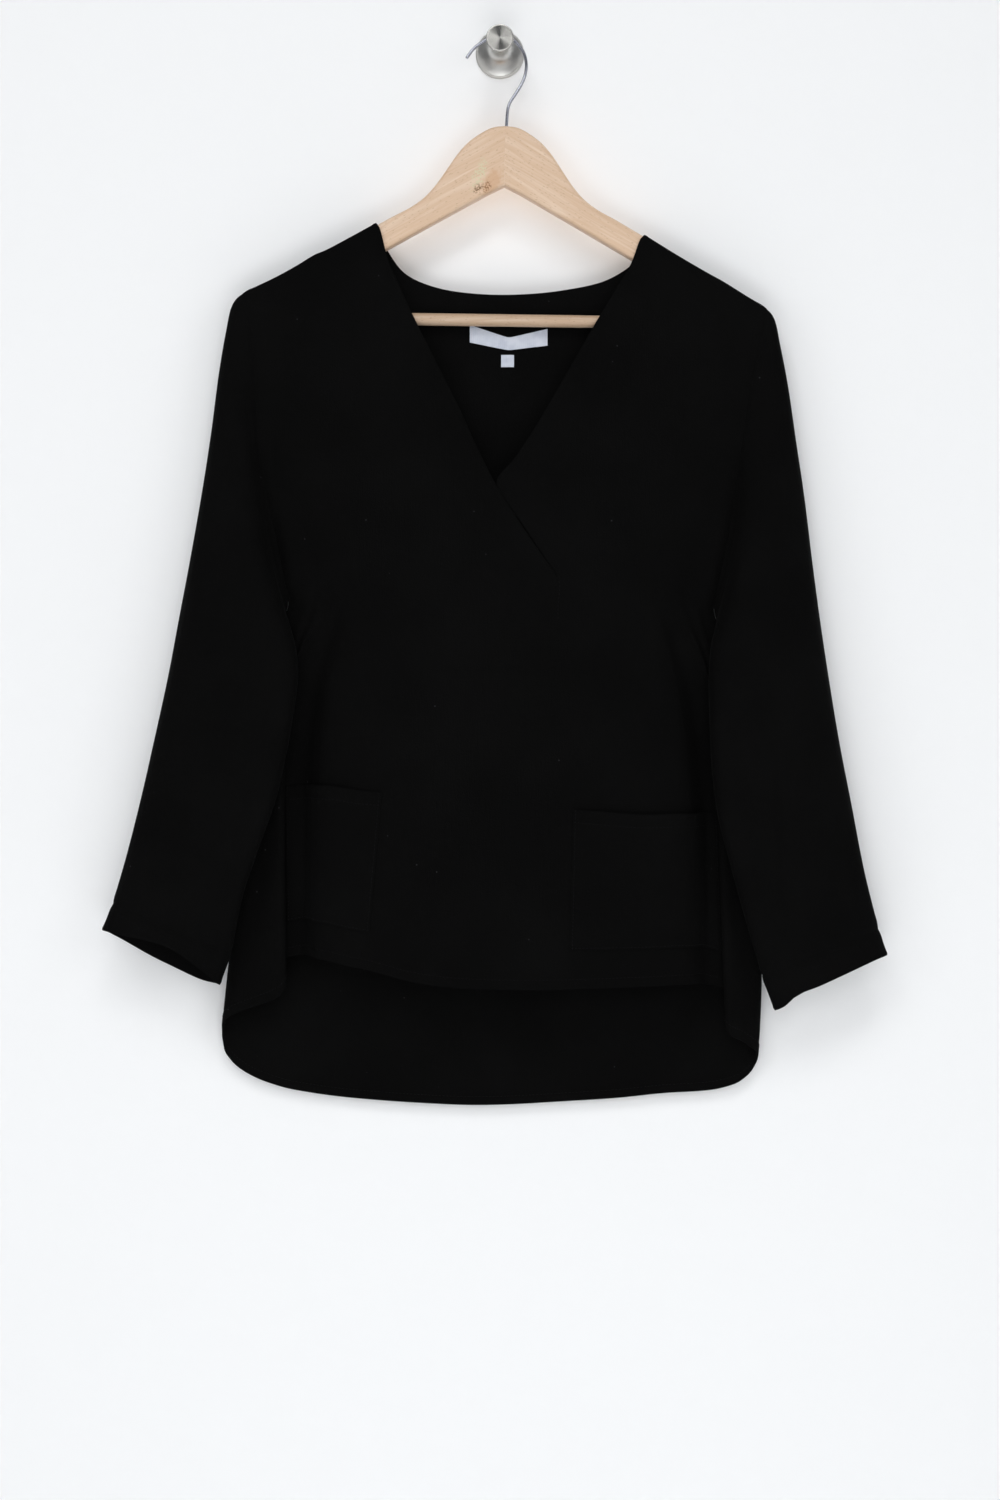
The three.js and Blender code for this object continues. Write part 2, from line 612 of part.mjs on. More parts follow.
/** The back below the chest line, at a drop: flat, and rounding forward to the side seams. */
function lowerBackRow(drop, columns) {
  const ends = ["right", "left"].map((side) => {
    const table = SIDE_FOLD[side];
    const x = outward(side) * along(table, "drop", "seam", drop);
    const z = mix(CHEST_Z[side], SIDE_HEM[side].seam, drop);
    return new THREE.Vector3(x, along(table, "drop", "seamY", drop), z);
  });
  const last = columns - 1;
  return Array.from({ length: columns }, (_, column) => {
    if (column === 0) return ends[0];
    if (column === last) return ends[1];
    const nearest = Math.min(column, last - column);
    const end = column < last / 2 ? ends[0] : ends[1];
    const turnIn = Math.sign(end.x) * -[0, 1.5, 8][Math.min(nearest, 2)];
    const even = (column - 2) / (last - 4);
    const x = nearest < 3 ? end.x + turnIn : mix(ends[0].x + 8, ends[1].x - 8, even);
    const across = (x - ends[0].x) / (ends[1].x - ends[0].x);
    const hem = along(BACK_HEM, "x", "z", mix(BACK_HEM[0].x, BACK_HEM[BACK_HEM.length - 1].x, across));
    const z = mix(mix(CHEST_Z.right, CHEST_Z.left, across), hem, drop);
    const turned = [0, 0.5, 0.85][Math.min(nearest, 2)];
    const y = nearest < 3 ? mix(end.y, backY(z), turned) : backY(z);
    return new THREE.Vector3(x, y, z);
  });
}

/** The back above the chest line, rounding over the hanger's arms at the shoulders. */
function upperBackRow(row, chest, top) {
  const last = chest.length - 1;
  const fromTop = UPPER_ROWS.length - 1 - row;
  const rise = UPPER_ROWS[row];
  return chest.map((low, column) => {
    if (column === 0) return armholePoint("right", row, 1);
    if (column === last) return armholePoint("left", row, 1);
    const high = top[column];
    const onSeam = column <= BACK_SHOULDER_COLUMNS || column >= last - BACK_SHOULDER_COLUMNS;
    if (onSeam && fromTop < ROUNDING.length) return overArm(high.x, fromTop, 1);
    const point = mixPoint(low, high, rise);
    if (fromTop === 0) return point;
    point.y = backY(point.z);
    const edge = Math.min(column, last - column);
    if (edge < 3) point.y = mix(armholePoint(column < 3 ? "right" : "left", row, 1).y, point.y, edge / 3);
    return point;
  });
}

/** The back, one panel. */
function backSheet() {
  const sheet = new Sheet();
  const top = backTopRow();
  const lower = LOWER_ROWS.map((drop) => lowerBackRow(drop, top.length)).reverse();
  const chest = lower[lower.length - 1];
  const upper = UPPER_ROWS.map((_, row) => upperBackRow(row, chest, top)).slice(1);
  const rows = sheet.addRows([...lower, ...upper]);
  return sheet.weave(rows.map((row) => [...row].reverse()));
}

/** One ring of a sleeve or cuff: a flattened tube between its outer and inner edges. */
function tubeRing(edges, turns) {
  const outer = new THREE.Vector3(edges.outerX, edges.outerY, edges.outerZ);
  const inner = new THREE.Vector3(edges.innerX, edges.innerY, edges.innerZ);
  const middle = mixPoint(outer, inner, 0.5);
  const half = outer.clone().sub(middle);
  const power = 2 / SLEEVE_SQUARENESS;
  return turns.map((turn) => {
    const cos = Math.cos(turn);
    const sin = Math.sin(turn);
    const across = Math.sign(cos) * Math.abs(cos) ** power;
    const deep = Math.sign(sin) * Math.abs(sin) ** power;
    return middle.clone().addScaledVector(half, across).add(new THREE.Vector3(0, -deep * edges.depth, 0));
  });
}

/** The armhole seam as a closed loop: up the back, over the shoulder and down the front. */
function armholeLoop(side) {
  const rows = UPPER_ROWS.map((_, row) => row);
  const back = rows.map((row) => armholePoint(side, row, 1));
  const front = rows.map((row) => armholePoint(side, row, -1)).reverse();
  return [...back.slice(0, -1), ...front.slice(0, -1)];
}

/** Where the loop's points lie round a ring: 0 at the outer edge, positive towards the front. */
function loopTurns(side) {
  const loop = armholeLoop(side);
  const shoulder = loop[UPPER_ROWS.length - 1];
  const underarm = loop[0];
  const axis = shoulder.clone().sub(underarm);
  const half = loop.length / 2;
  return loop.map((point, k) => {
    const t = point.clone().sub(underarm).dot(axis) / axis.lengthSq();
    const across = THREE.MathUtils.clamp(2 * t - 1, -1, 1);
    const even = (k / half) * Math.PI - Math.PI;
    const turn = Math.acos(Math.sign(across) * Math.abs(across) ** (SLEEVE_SQUARENESS / 2));
    return mix(k <= half ? -turn : turn, even, 0.5);
  });
}

function sleeveRings(side) {
  const turns = loopTurns(side);
  const loop = armholeLoop(side);
  const table = SLEEVE[side];
  const base = tubeRing(table[0], turns);
  const rest = loop.map((point, k) => point.clone().sub(base[k]));
  return table.map((edges, ring) => {
    const keep = ARMHOLE_KEEP[ring] ?? 0;
    return tubeRing(edges, turns).map((point, k) => point.addScaledVector(rest[k], keep));
  });
}

/** Faces a tube so that it points outwards on either side of the body. */
function tubeSheet(rings, side) {
  const sheet = new Sheet();
  const rows = sheet.addRows(rings);
  return sheet.weave(side === "right" ? rows.reverse() : rows, true);
}

const sleeveSheet = (side) => tubeSheet(sleeveRings(side), side);

function cuffSheet(side) {
  const turns = loopTurns(side);
  const table = SLEEVE[side];
  const top = tubeRing(table[table.length - 1], turns);
  const bottom = tubeRing(CUFF[side], turns);
  const rows = Array.from({ length: CUFF_ROWS + 1 }, (_, k) => top.map((p, j) => mixPoint(p, bottom[j], k / CUFF_ROWS)));
  return tubeSheet(rows, side);
}

/** A sheet's points moved out along its own normals. */
function movedOut(sheet, by) {
  const [normals] = sewnNormals([sheet]);
  const moved = new Sheet();
  moved.faces = sheet.faces;
  moved.points = sheet.points.map((p, i) => p.clone().addScaledVector(normals[i], typeof by === "function" ? by(i) : by));
  return moved;
}

/** A patch pocket, from the front's own rows moved out, its mouth standing a little proud. */
function pocketSheet(side) {
  const { top, bottom, outerColumn } = POCKET[side];
  const innerColumn = FOLD_COLUMNS + BROW_COLUMNS[side];
  const rows = Array.from({ length: POCKET_ROWS + 1 }, (_, k) => {
    const row = lowerFrontRow(side, mix(bottom, top, k / POCKET_ROWS)).slice(outerColumn, innerColumn + 1);
    return side === "right" ? row : row.reverse();
  });
  const sheet = new Sheet();
  sheet.weave(sheet.addRows(rows));
  const mouth = sheet.points.length - rows[0].length;
  const width = rows[0].length - 1;
  const gape = (i) => (i < mouth ? 0 : POCKET_GAPE * Math.sin(((i - mouth) / width) * Math.PI));
  return movedOut(sheet, (i) => LAYER_STEP + gape(i));
}

/** Depth of a sheet's rearmost face at a place in the plane of the wall, or null beside the sheet. */
function depthOn(sheet, x, z) {
  let rear = null;
  for (const corners of sheet.faces) {
    const [a, b, c] = corners.map((corner) => sheet.points[corner]);
    const area = (b.x - a.x) * (c.z - a.z) - (c.x - a.x) * (b.z - a.z);
    const u = ((x - a.x) * (c.z - a.z) - (c.x - a.x) * (z - a.z)) / area;
    const v = ((b.x - a.x) * (z - a.z) - (x - a.x) * (b.z - a.z)) / area;
    if (Math.min(u, v, 1 - u - v) < -0.02) continue;
    const y = a.y + u * (b.y - a.y) + v * (c.y - a.y);
    rear = rear === null ? y : Math.max(rear, y);
  }
  return rear;
}

/** The underlap: hangs behind the front, its upper edge carrying on the left neck edge's line. */
function underlapSheet() {
  const front = frontSheet();
  const { across, down } = UNDERLAP_STEPS;
  const vee = new THREE.Vector2(NECK_EDGE.right[1].x, NECK_EDGE.right[1].z);
  const wrapEnd = new THREE.Vector2(NECK_EDGE.right[0].x, NECK_EDGE.right[0].z);
  const [lowLeft, footLeft, footRight] = UNDERLAP.map(({ x, z }) => new THREE.Vector2(x, z));
  const behind = LAYER_STEP + UNDERLAP_SLACK;
  const rows = Array.from({ length: down + 1 }, (_, i) => {
    const v = i / down;
    const left = v < 0.5 ? vee.clone().lerp(lowLeft, v * 2) : lowLeft.clone().lerp(footLeft, v * 2 - 1);
    const right = v < 0.5 ? vee.clone().lerp(wrapEnd, v * 2) : wrapEnd.clone().lerp(footRight, v * 2 - 1);
    return Array.from({ length: across + 1 }, (_, j) => {
      const p = left.clone().lerp(right, j / across);
      return new THREE.Vector3(p.x, depthOn(front, p.x, p.y) + behind, p.y);
    });
  }).reverse();
  const sheet = new Sheet();
  const numbers = sheet.addRows(rows);
  const tip = numbers[down][0];
  numbers[down] = numbers[down].map(() => tip);
  sheet.weave(numbers);
  sheet.faces = sheet.faces.filter(([a, b, c]) => a !== b && b !== c && c !== a);
  return compact(sheet);
}

/** A small white strip lying on the inside of the back, sagging in its middle. */
function labelSheet({ fromX, toX, topZ, height, sag = 0, columns = 1 }) {
  const rows = [1, 0].map((v) =>
    Array.from({ length: columns + 1 }, (_, k) => {
      const x = mix(fromX, toX, k / columns);
      const droop = sag * (1 - Math.abs((2 * k) / columns - 1));
      const z = topZ - droop - v * height;
      return new THREE.Vector3(x, backY(z) - CLOTH / 2 - LABEL_CLEAR - LABEL_THICK / 2, z);
    }),
  );
  const sheet = new Sheet();
  return sheet.weave(sheet.addRows(rows));
}

/** A closed triangle mesh as a solid that can be joined and cut. */
function solid(geometry) {
  const bare = geometry.clone();
  bare.deleteAttribute("normal");
  bare.deleteAttribute("uv");
  const merged = mergeVertices(bare, 1e-3);
  return new wasm.Manifold(
    new wasm.Mesh({
      numProp: 3,
      vertProperties: new Float32Array(merged.attributes.position.array),
      triVerts: new Uint32Array(merged.index.array),
    }),
  );
}

/** A solid as three.js geometry. */
function geometryOf(body) {
  const mesh = body.getMesh();
  const geometry = new THREE.BufferGeometry();
  geometry.setAttribute("position", new THREE.Float32BufferAttribute(mesh.vertProperties, 3));
  geometry.setIndex(Array.from(mesh.triVerts));
  geometry.computeVertexNormals();
  return geometry;
}

/** A turned piece about the X axis from pairs of distance along it and radius. */
function turnedAlongX(profile, segments) {
  const points = profile.map(([x, radius]) => new THREE.Vector2(radius, x));
  return new THREE.LatheGeometry(points, segments).rotateZ(-Math.PI / 2);
}

/** One hanger arm in the hanger's own frame, cut for the bar's peg and the hook's wire. */
function armGeometry(side) {
  const s = outward(side);
  const joint = FIT / 2;
  const outline = [
    ...ARM_TOP.map(({ run, drop }) => [Math.max(run, joint), drop]),
    ...ARM_TIP.map(({ run, drop }) => [run, drop]),
    ...ARM_BOTTOM.map(({ run, drop }) => [Math.max(run, joint), drop]),
  ];
  const shape = new THREE.Shape(outline.map(([run, drop]) => new THREE.Vector2(s * run, drop)));
  const board = new THREE.ExtrudeGeometry(shape, {
    depth: HANGER.thick - 2 * HANGER.edge,
    bevelThickness: HANGER.edge,
    bevelSize: HANGER.edge,
    bevelOffset: -HANGER.edge,
    bevelSegments: 2,
    curveSegments: 1,
  });
  board.rotateX(Math.PI / 2).translate(0, HANGER.thick / 2 - HANGER.edge, 0);
  const pegHole = turnedAlongX(
    [
      [150, 0],
      [150, BAR.pegRadius + FIT],
      [BAR.pegReach + FIT, BAR.pegRadius + FIT],
      [BAR.pegReach + FIT, 0],
    ],
    12,
  );
  pegHole.rotateY(s > 0 ? 0 : Math.PI).rotateY(-BAR.tilt).translate(0, 0, BAR.drop);
  const wireHole = new THREE.CylinderGeometry(WIRE.radius + FIT, WIRE.radius + FIT, 60, 12);
  wireHole.rotateX(Math.PI / 2).translate(0.8, 0, WIRE.socketFloor + 30);
  return geometryOf(solid(board).subtract(solid(pegHole)).subtract(solid(wireHole)));
}

/** The dowel, with a peg at each end that sits in the arms. */
function barGeometry() {
  const { reach, radius, pegReach, pegRadius, tilt, drop } = BAR;
  const bar = turnedAlongX(
    [
      [-pegReach, 0],
      [-pegReach, pegRadius],
      [-reach, pegRadius],
      [-reach, radius],
      [reach, radius],
      [reach, pegRadius],
      [pegReach, pegRadius],
      [pegReach, 0],
    ],
    16,
  );
  return bar.rotateY(-tilt).translate(0, 0, drop);
}

/** The bent wire hook, whose crown rests on the wall hook's neck. */
function hookGeometry() {
  const route = [
    [-28, -11],
    [-22.5, -3.5],
    [-14, 2.8],
    [-2, 7.8],
    [10, 4.5],
    [19.2, -5],
    [22.3, -15],
    [22, -25],
    [18.8, -33.5],
    [12, -43],
    [7.4, -51.5],
    [5.5, -62],
    [5.2, -74],
    [4.8, -87.5],
  ].map(([x, z]) => new THREE.Vector3(x, HANGER.y, z));
  const section = new THREE.Shape().absarc(0, 0, WIRE.radius, 0, Math.PI * 2);
  return new THREE.ExtrudeGeometry(section, {
    steps: 44,
    extrudePath: new THREE.CatmullRomCurve3(route, false, "centripetal"),
    curveSegments: 5,
  });
}

/** Turns a profile of radius and distance from the wall about the Y axis, towards the viewer. */
function turnedFromWall(profile, segments) {
  const points = profile.map(([radius, off]) => new THREE.Vector2(radius, off));
  return new THREE.LatheGeometry(points, segments).rotateX(Math.PI);
}

function plateGeometry() {
  const { radius, rim, neckRadius, neckEnd } = PLATE;
  const flare = Array.from({ length: 8 }, (_, k) => {
    const t = k / 7;
    return [neckRadius + (radius - 1.5 - neckRadius) * (1 - t) ** 2.6, rim + 1 + t * 17];
  });
  return turnedFromWall([[0, 0], [radius, 0], [radius, rim], ...flare, [neckRadius, neckEnd], [0, neckEnd]], 40);
}

function knobGeometry() {
  const { radius, from, to, rim } = KNOB;
  const profile = [
    [0, from],
    [radius - rim - 1.5, from],
    [radius - 0.6, from + rim + 1],
    [radius, from + rim + 3],
    [radius, to - rim / 2],
    [radius - rim / 2, to],
    [radius - rim, to],
    [radius - rim - 0.6, to - 0.6],
    [0, to - 0.6],
  ];
  return turnedFromWall(profile, 32);
}

/** The cloth pieces that share seams, each a wall with its rims drawn apart. */
function sewnPieces() {
  const sheets = {
    front: frontSheet(),
    back: backSheet(),
    sleeve_right: sleeveSheet("right"),
    sleeve_left: sleeveSheet("left"),
    cuff_right: cuffSheet("right"),
    cuff_left: cuffSheet("left"),
  };
  const names = Object.keys(sheets);
  const normals = sewnNormals(Object.values(sheets));
  return names.map((name, k) => {
    drawIn(sheets[name], normals[k]);
    return named(name, wall(sheets[name], normals[k], CLOTH), clothBlack());
  });
}

/** Pieces that lie on or behind another panel. */
function laidPieces() {
  const pieces = [
    ["pocket_right", pocketSheet("right"), CLOTH, clothBlack()],
    ["pocket_left", pocketSheet("left"), CLOTH, clothBlack()],
    ["underlap", underlapSheet(), CLOTH, clothBlack()],
    ["neck_label", labelSheet(LABEL), LABEL_THICK, labelWhite()],
    ["size_tab", labelSheet(TAB), LABEL_THICK, labelWhite()],
  ];
  return pieces.map(([name, sheet, thick, material]) => {
    const [normals] = sewnNormals([sheet]);
    return named(name, wall(sheet, normals, thick), material);
  });
}

function hanger() {
  const group = new THREE.Group();
  group.position.set(HANGER.x, HANGER.y, HANGER.z);
  group.rotation.y = HANGER.lean;
  group.add(named("hanger_arm_right", armGeometry("right"), beech()));
  group.add(named("hanger_arm_left", armGeometry("left"), beech()));
  group.add(named("hanger_bar", barGeometry(), beech()));
  return group;
}

const wrapTop = new THREE.Group();
wrapTop.add(...sewnPieces(), ...laidPieces(), hanger());
wrapTop.add(named("hanger_hook", hookGeometry(), chrome()));
wrapTop.add(named("wall_plate", plateGeometry(), steel()));
wrapTop.add(named("wall_knob", knobGeometry(), steel()));

export default wrapTop;
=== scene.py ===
"""Wrap top of matte black crepe on a beech hanger and a steel wall hook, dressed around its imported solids.

Sizes are millimetres, and each mesh is turned to metres when it is made. +Z is up, -Y faces the viewer, and
the wall is the plane y = 0. Right and left are the wearer's, so the wearer's right side lies at -X.
"""

import logging
import math
from collections.abc import Sequence
from dataclasses import dataclass, field
from enum import Enum

import bmesh
import bpy
import numpy as np
from bpy.types import ID, Material, Node, NodeSocket, NodeTree, Object
from mathutils import Matrix, Vector

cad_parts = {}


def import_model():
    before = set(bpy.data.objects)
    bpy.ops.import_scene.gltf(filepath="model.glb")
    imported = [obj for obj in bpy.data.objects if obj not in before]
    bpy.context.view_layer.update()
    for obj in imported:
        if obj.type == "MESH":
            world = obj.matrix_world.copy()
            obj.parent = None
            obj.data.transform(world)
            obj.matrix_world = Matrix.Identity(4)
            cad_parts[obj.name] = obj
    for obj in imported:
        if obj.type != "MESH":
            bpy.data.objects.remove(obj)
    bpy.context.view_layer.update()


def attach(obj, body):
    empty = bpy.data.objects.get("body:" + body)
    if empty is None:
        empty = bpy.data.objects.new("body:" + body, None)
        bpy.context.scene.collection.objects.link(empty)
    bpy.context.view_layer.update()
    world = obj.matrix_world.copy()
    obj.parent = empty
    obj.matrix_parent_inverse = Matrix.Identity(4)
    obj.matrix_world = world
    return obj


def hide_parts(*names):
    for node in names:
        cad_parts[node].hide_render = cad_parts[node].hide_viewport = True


log = logging.getLogger("wrap_top")

MM_PER_M = 1000.0
BODY = "root"


class Side(Enum):
    """Side of the garment, the wearer's, with its direction along X."""

    RIGHT = -1
    LEFT = 1

    @property
    def word(self) -> str:
        """The side's name as nodes have it."""
        return self.name.lower()


class Edge(Enum):
    """An edge of a grid of points."""

    FIRST_ROW = "first row"
    LAST_ROW = "last row"
    FIRST_COLUMN = "first column"
    LAST_COLUMN = "last column"


class Slot(Enum):
    """Material slots of the record."""

    CREPE = "crepe"
    LABEL = "label"
    BEECH = "beech"
    WIRE = "hook_wire"
    STEEL = "wall_steel"


# Numbers that the whole top is worked out from

CLOTH = 1.0
LAYER_STEP = 1.7
MESH_STEP = 3.4
ROW_STEP = 3.6

HANGER_AT = np.array([4.5, -30.0, -70.2])
HANGER_LEAN = math.radians(0.8)
ARM_SLOPE = math.tan(math.radians(29.9))
UPPER_ROWS = (0, 0.07, 0.155, 0.255, 0.365, 0.48, 0.6, 0.72, 0.835, 0.92, 0.972, 0.992, 1)
LOWER_ROWS = (0, 0.07, 0.15, 0.24, 0.33, 0.43, 0.53, 0.63, 0.72, 0.81, 0.9, 1)
# Out from the arm's middle plane and up from its top, where cloth rounds over it
ROUNDING = ((0, 1.9), (5.8, 0.9), (8, -4.5))
V_RISE = 0.255
OVERLAP = 1.9
SLASH_OPEN = 0.25
RIDGE_TURN = 3.2
TUCK_TURN = 3.5
FOLD_COLUMNS = 14
FACE_IN = 15
POCKET_COLUMN = 10
BROW_COLUMNS = {Side.RIGHT: 2, Side.LEFT: 3}
CENTRE_COLUMNS = {Side.RIGHT: 4, Side.LEFT: 1}
CHEST_Z = {Side.RIGHT: -474, Side.LEFT: -480}
WRAP_END_Z = -456
# How the cloth is evened out about the chest line: in from the edges, up and down, and how many times
SOFT_IN = 26
SOFT_REACH = 62
SOFT_PASSES = 90
BACK_SHOULDER_COLUMNS = 7
# Where the back rounds to the side seams: in from the seam, and the share of the back's own depth
BACK_ROUND = ((0, 0), (1.5, 0.5), (8, 0.85))
SLEEVE_SQUARENESS = 2.3
ARMHOLE_KEEP = (1, 0.8, 0.5, 0.25, 0.1)
# The side fold's small roundings about its seam, its ridge, its tuck and the face's edge
SEAM_ROUND = (1.5, 8)
SEAM_TURN = 5
RIDGE_LIP = 5
TUCK_LIP = (4, 5)
FACE_ROUND = (9, 2, -5)
# Creases: how finely their lines are read, how they fade at their ends, and how fast on cloth that turns away
CREASE_STEP = 12
CREASE_FADE = 0.28
CREASE_START = 0.12
CREASE_FACING = 1.6
# Seams: the allowance under the cloth raises a soft band beside the groove
ALLOWANCE_RISE = 0.22
ALLOWANCE_AT = 6.5
ALLOWANCE_WIDTH = 3.2
# Hems: how softly the double cloth ends, how it shows outside, and how its edge and its stitches pull it in
FRONT_HEM = 9.5
BACK_HEM_HEIGHT = 8.5
HEM_SOFT = 1.6
HEM_SHOW = 0.18
HEM_SHOW_IN = 1.5
HEM_SHOW_SOFT = 2.5
EDGE_PULL = 0.3
EDGE_WIDTH = 0.7
STITCH_IN = 1.2
STITCH_WIDTH = 1.1
# Patch pockets: drop of the mouth's outer and inner corner and of the foot, the mouth's sag, and how it gapes
POCKET = {Side.RIGHT: (0.525, 0.527, 0.9, 0.0, 2.4), Side.LEFT: (0.547, 0.56, 0.905, 0.011, 4.0)}
POCKET_ROWS = 8
POCKET_STEPS = (1.7, 1.6)
# The underlap: its mesh, how many points of the front it lies behind, how far, and how often it is evened out
UNDERLAP_OUTLINE = ((-67.5, -467.5), (-62, -530), (47, -531))
UNDERLAP_MESH = (24, 30)
UNDERLAP_NEAR = 6
UNDERLAP_BEHIND = 0.5
UNDERLAP_PASSES = 3


@dataclass(frozen=True)
class Table:
    """Rows of named numbers, read smoothly between the rows by the first column."""

    columns: tuple[str, ...]
    rows: tuple[tuple[float, ...], ...]

    def at(self, column: str, place: float) -> float:
        """Value of a column at a place.

        Args:
            column: Name of the column.
            place: Value of the first column, held within the table.

        Returns:
            The smooth value there.
        """
        x = [row[0] for row in self.rows]
        y = [row[self.columns.index(column)] for row in self.rows]
        last = len(x) - 1
        place = min(max(place, min(x[0], x[last])), max(x[0], x[last]))
        way = x[last] - x[0]
        i = 0
        while i < last - 1 and (place - x[i + 1]) * way > 0:
            i += 1

        def slope(k: int) -> float:
            low, high = max(k - 1, 0), min(k + 1, last)
            return (y[high] - y[low]) / (x[high] - x[low])

        span = x[i + 1] - x[i]
        t = (place - x[i]) / span
        straight = mix(y[i], y[i + 1], smooth(t))
        return straight + (1 - t) * t * span * ((1 - t) * slope(i) - t * slope(i + 1))


ARMHOLE_COLUMNS = ("rise", "out", "z", "front_y", "back_y")
ARMHOLE = {
    Side.RIGHT: Table(ARMHOLE_COLUMNS, (
        (0, 180, -474, -29, -29),
        (0.07, 183, -458, -34, -25),
        (0.25, 194, -406, -37.5, -21.5),
        (0.5, 205.5, -343, -38.5, -21),
        (0.75, 208.5, -279, -38.5, -21.5),
        (0.92, 213.5, -234, -38, -22),
        (1, 219, -214, -38, -22),
    )),
    Side.LEFT: Table(ARMHOLE_COLUMNS, (
        (0, 182, -480, -29, -29),
        (0.07, 185, -464, -34, -25),
        (0.25, 195, -414, -37.5, -21.5),
        (0.5, 204, -352, -38.5, -21),
        (0.75, 213, -290, -38.5, -21.5),
        (0.92, 222, -246, -38, -22),
        (1, 227, -227, -38, -22),
    )),
}
NECK_COLUMNS = ("rise", "x", "z", "y")
NECK_EDGE = {
    Side.RIGHT: Table(NECK_COLUMNS, (
        (0, 49, -456, -46),
        (0.255, -3.4, -376.5, -43),
        (0.48, -37, -306, -41),
        (0.72, -73, -234, -39),
        (0.92, -95.5, -183, -38),
        (1, -106, -151, -38),
    )),
    # Its first row only gives the edge's direction at the V, because below it the slash takes over
    Side.LEFT: Table(NECK_COLUMNS, (
        (0, -42.4, -434.9, -46),
        (0.255, -3.4, -376.5, -43),
        (0.48, 31, -325, -41),
        (0.72, 80, -240, -39),
        (0.92, 111, -188, -38),
        (1, 123.5, -162, -38),
    )),
}
WRAP_END_X = 49.0
VEE_AT = (-3.4, -376.5)
SIDE_FOLD_COLUMNS = (
    "drop", "seam", "ridge", "tuck", "face", "seam_y", "flank_y", "ridge_y", "valley_y", "face_y", "fold",
)
SIDE_FOLD = {
    Side.RIGHT: Table(SIDE_FOLD_COLUMNS, (
        (0, 180, 172, 178, 128, -29, -30, -37, -30, -41, 0),
        (0.15, 196, 176, 184, 147, -22, -27, -33, -26, -43, 0.5),
        (0.43, 211, 183, 197, 155, -19, -28, -36, -24, -48, 0.95),
        (0.72, 227, 183, 200, 157, -18, -29, -38, -23, -51, 1),
        (1, 238.5, 182, 201, 159, -17, -30, -39, -22, -53, 1),
    )),
    Side.LEFT: Table(SIDE_FOLD_COLUMNS, (
        (0, 182, 174, 180, 134, -29, -30, -37, -30, -41, 0),
        (0.15, 197, 181, 187, 152, -22, -27, -33, -26, -43, 0.45),
        (0.43, 210, 185, 198, 163, -19, -28, -36, -25, -48, 0.9),
        (0.72, 223, 188, 202, 166, -18, -29, -38, -24, -51, 1),
        (0.86, 224, 190, 204, 166.5, -17.5, -29.5, -38, -23.5, -52, 1),
        (1, 221.5, 192, 206, 167, -17, -30, -38, -23, -53, 1),
    )),
}
# Front hem heights over the side fold, by its column, and across the face
HEM_COLUMNS = ("column", "z")
SIDE_HEM = {
    Side.RIGHT: Table(HEM_COLUMNS, ((0, -842), (3, -820), (5, -800), (8, -787), (11, -776), (14, -779))),
    Side.LEFT: Table(HEM_COLUMNS, ((0, -864), (3, -849), (5, -838), (8, -818), (11, -801), (14, -799))),
}
FACE_HEM = Table(("x", "z"), (
    (-155, -779), (-113, -786), (-60, -799), (0, -802.5), (50, -802.5), (160, -799),
))
FACE_DEPTH = Table(("drop", "y"), ((0, -46), (0.43, -51), (1, -58)))
POCKET_EDGE = {
    Side.RIGHT: Table(("drop", "x"), ((0, -88), (0.53, -100), (0.9, -110), (1, -112))),
    Side.LEFT: Table(("drop", "x"), ((0, 66), (0.53, 62), (0.9, 58.9), (1, 58))),
}
BACK_DEPTH = Table(
    ("z", "y"), ((-906, -8), (-800, -10.5), (-640, -13), (-470, -17), (-340, -20), (-240, -22), (-150, -22))
)
BACK_HEM = Table(("x", "z"), (
    (-238.5, -842),
    (-237.2, -857),
    (-232.5, -866.5),
    (-226, -873.3),
    (-216, -880),
    (-202, -886.3),
    (-179, -893),
    (-128, -900.3),
    (-45, -906),
    (0, -906.3),
    (58, -903.2),
    (100, -900.5),
    (141, -896.3),
    (182, -893.5),
    (203, -888),
    (211, -882.6),
    (216.5, -877),
    (220.3, -868.5),
    (221.5, -864),
))
# How far the shoulder seam stands off the arm's top more than at the neck
SHOULDER_LIFT = Table(("x", "up"), (
    (-230, 4.2), (-218, 4), (-206, 2.9), (-190, 1.7), (-172, 1.6), (-158, 2.4), (-148, 1), (-130, 0.5),
    (-106, 0.3), (0, 0), (124, -0.4), (150, -1), (176, -0.8), (190, -0.2), (210, -0.8), (230, -0.8),
))
BACK_NECK_Y = -22
BACK_NECK = (
    (-98.5, -170),
    (-82, -193),
    (-55, -205.5),
    (-20, -211),
    (18, -211.5),
    (57, -207.5),
    (92, -199),
    (117, -182),
)
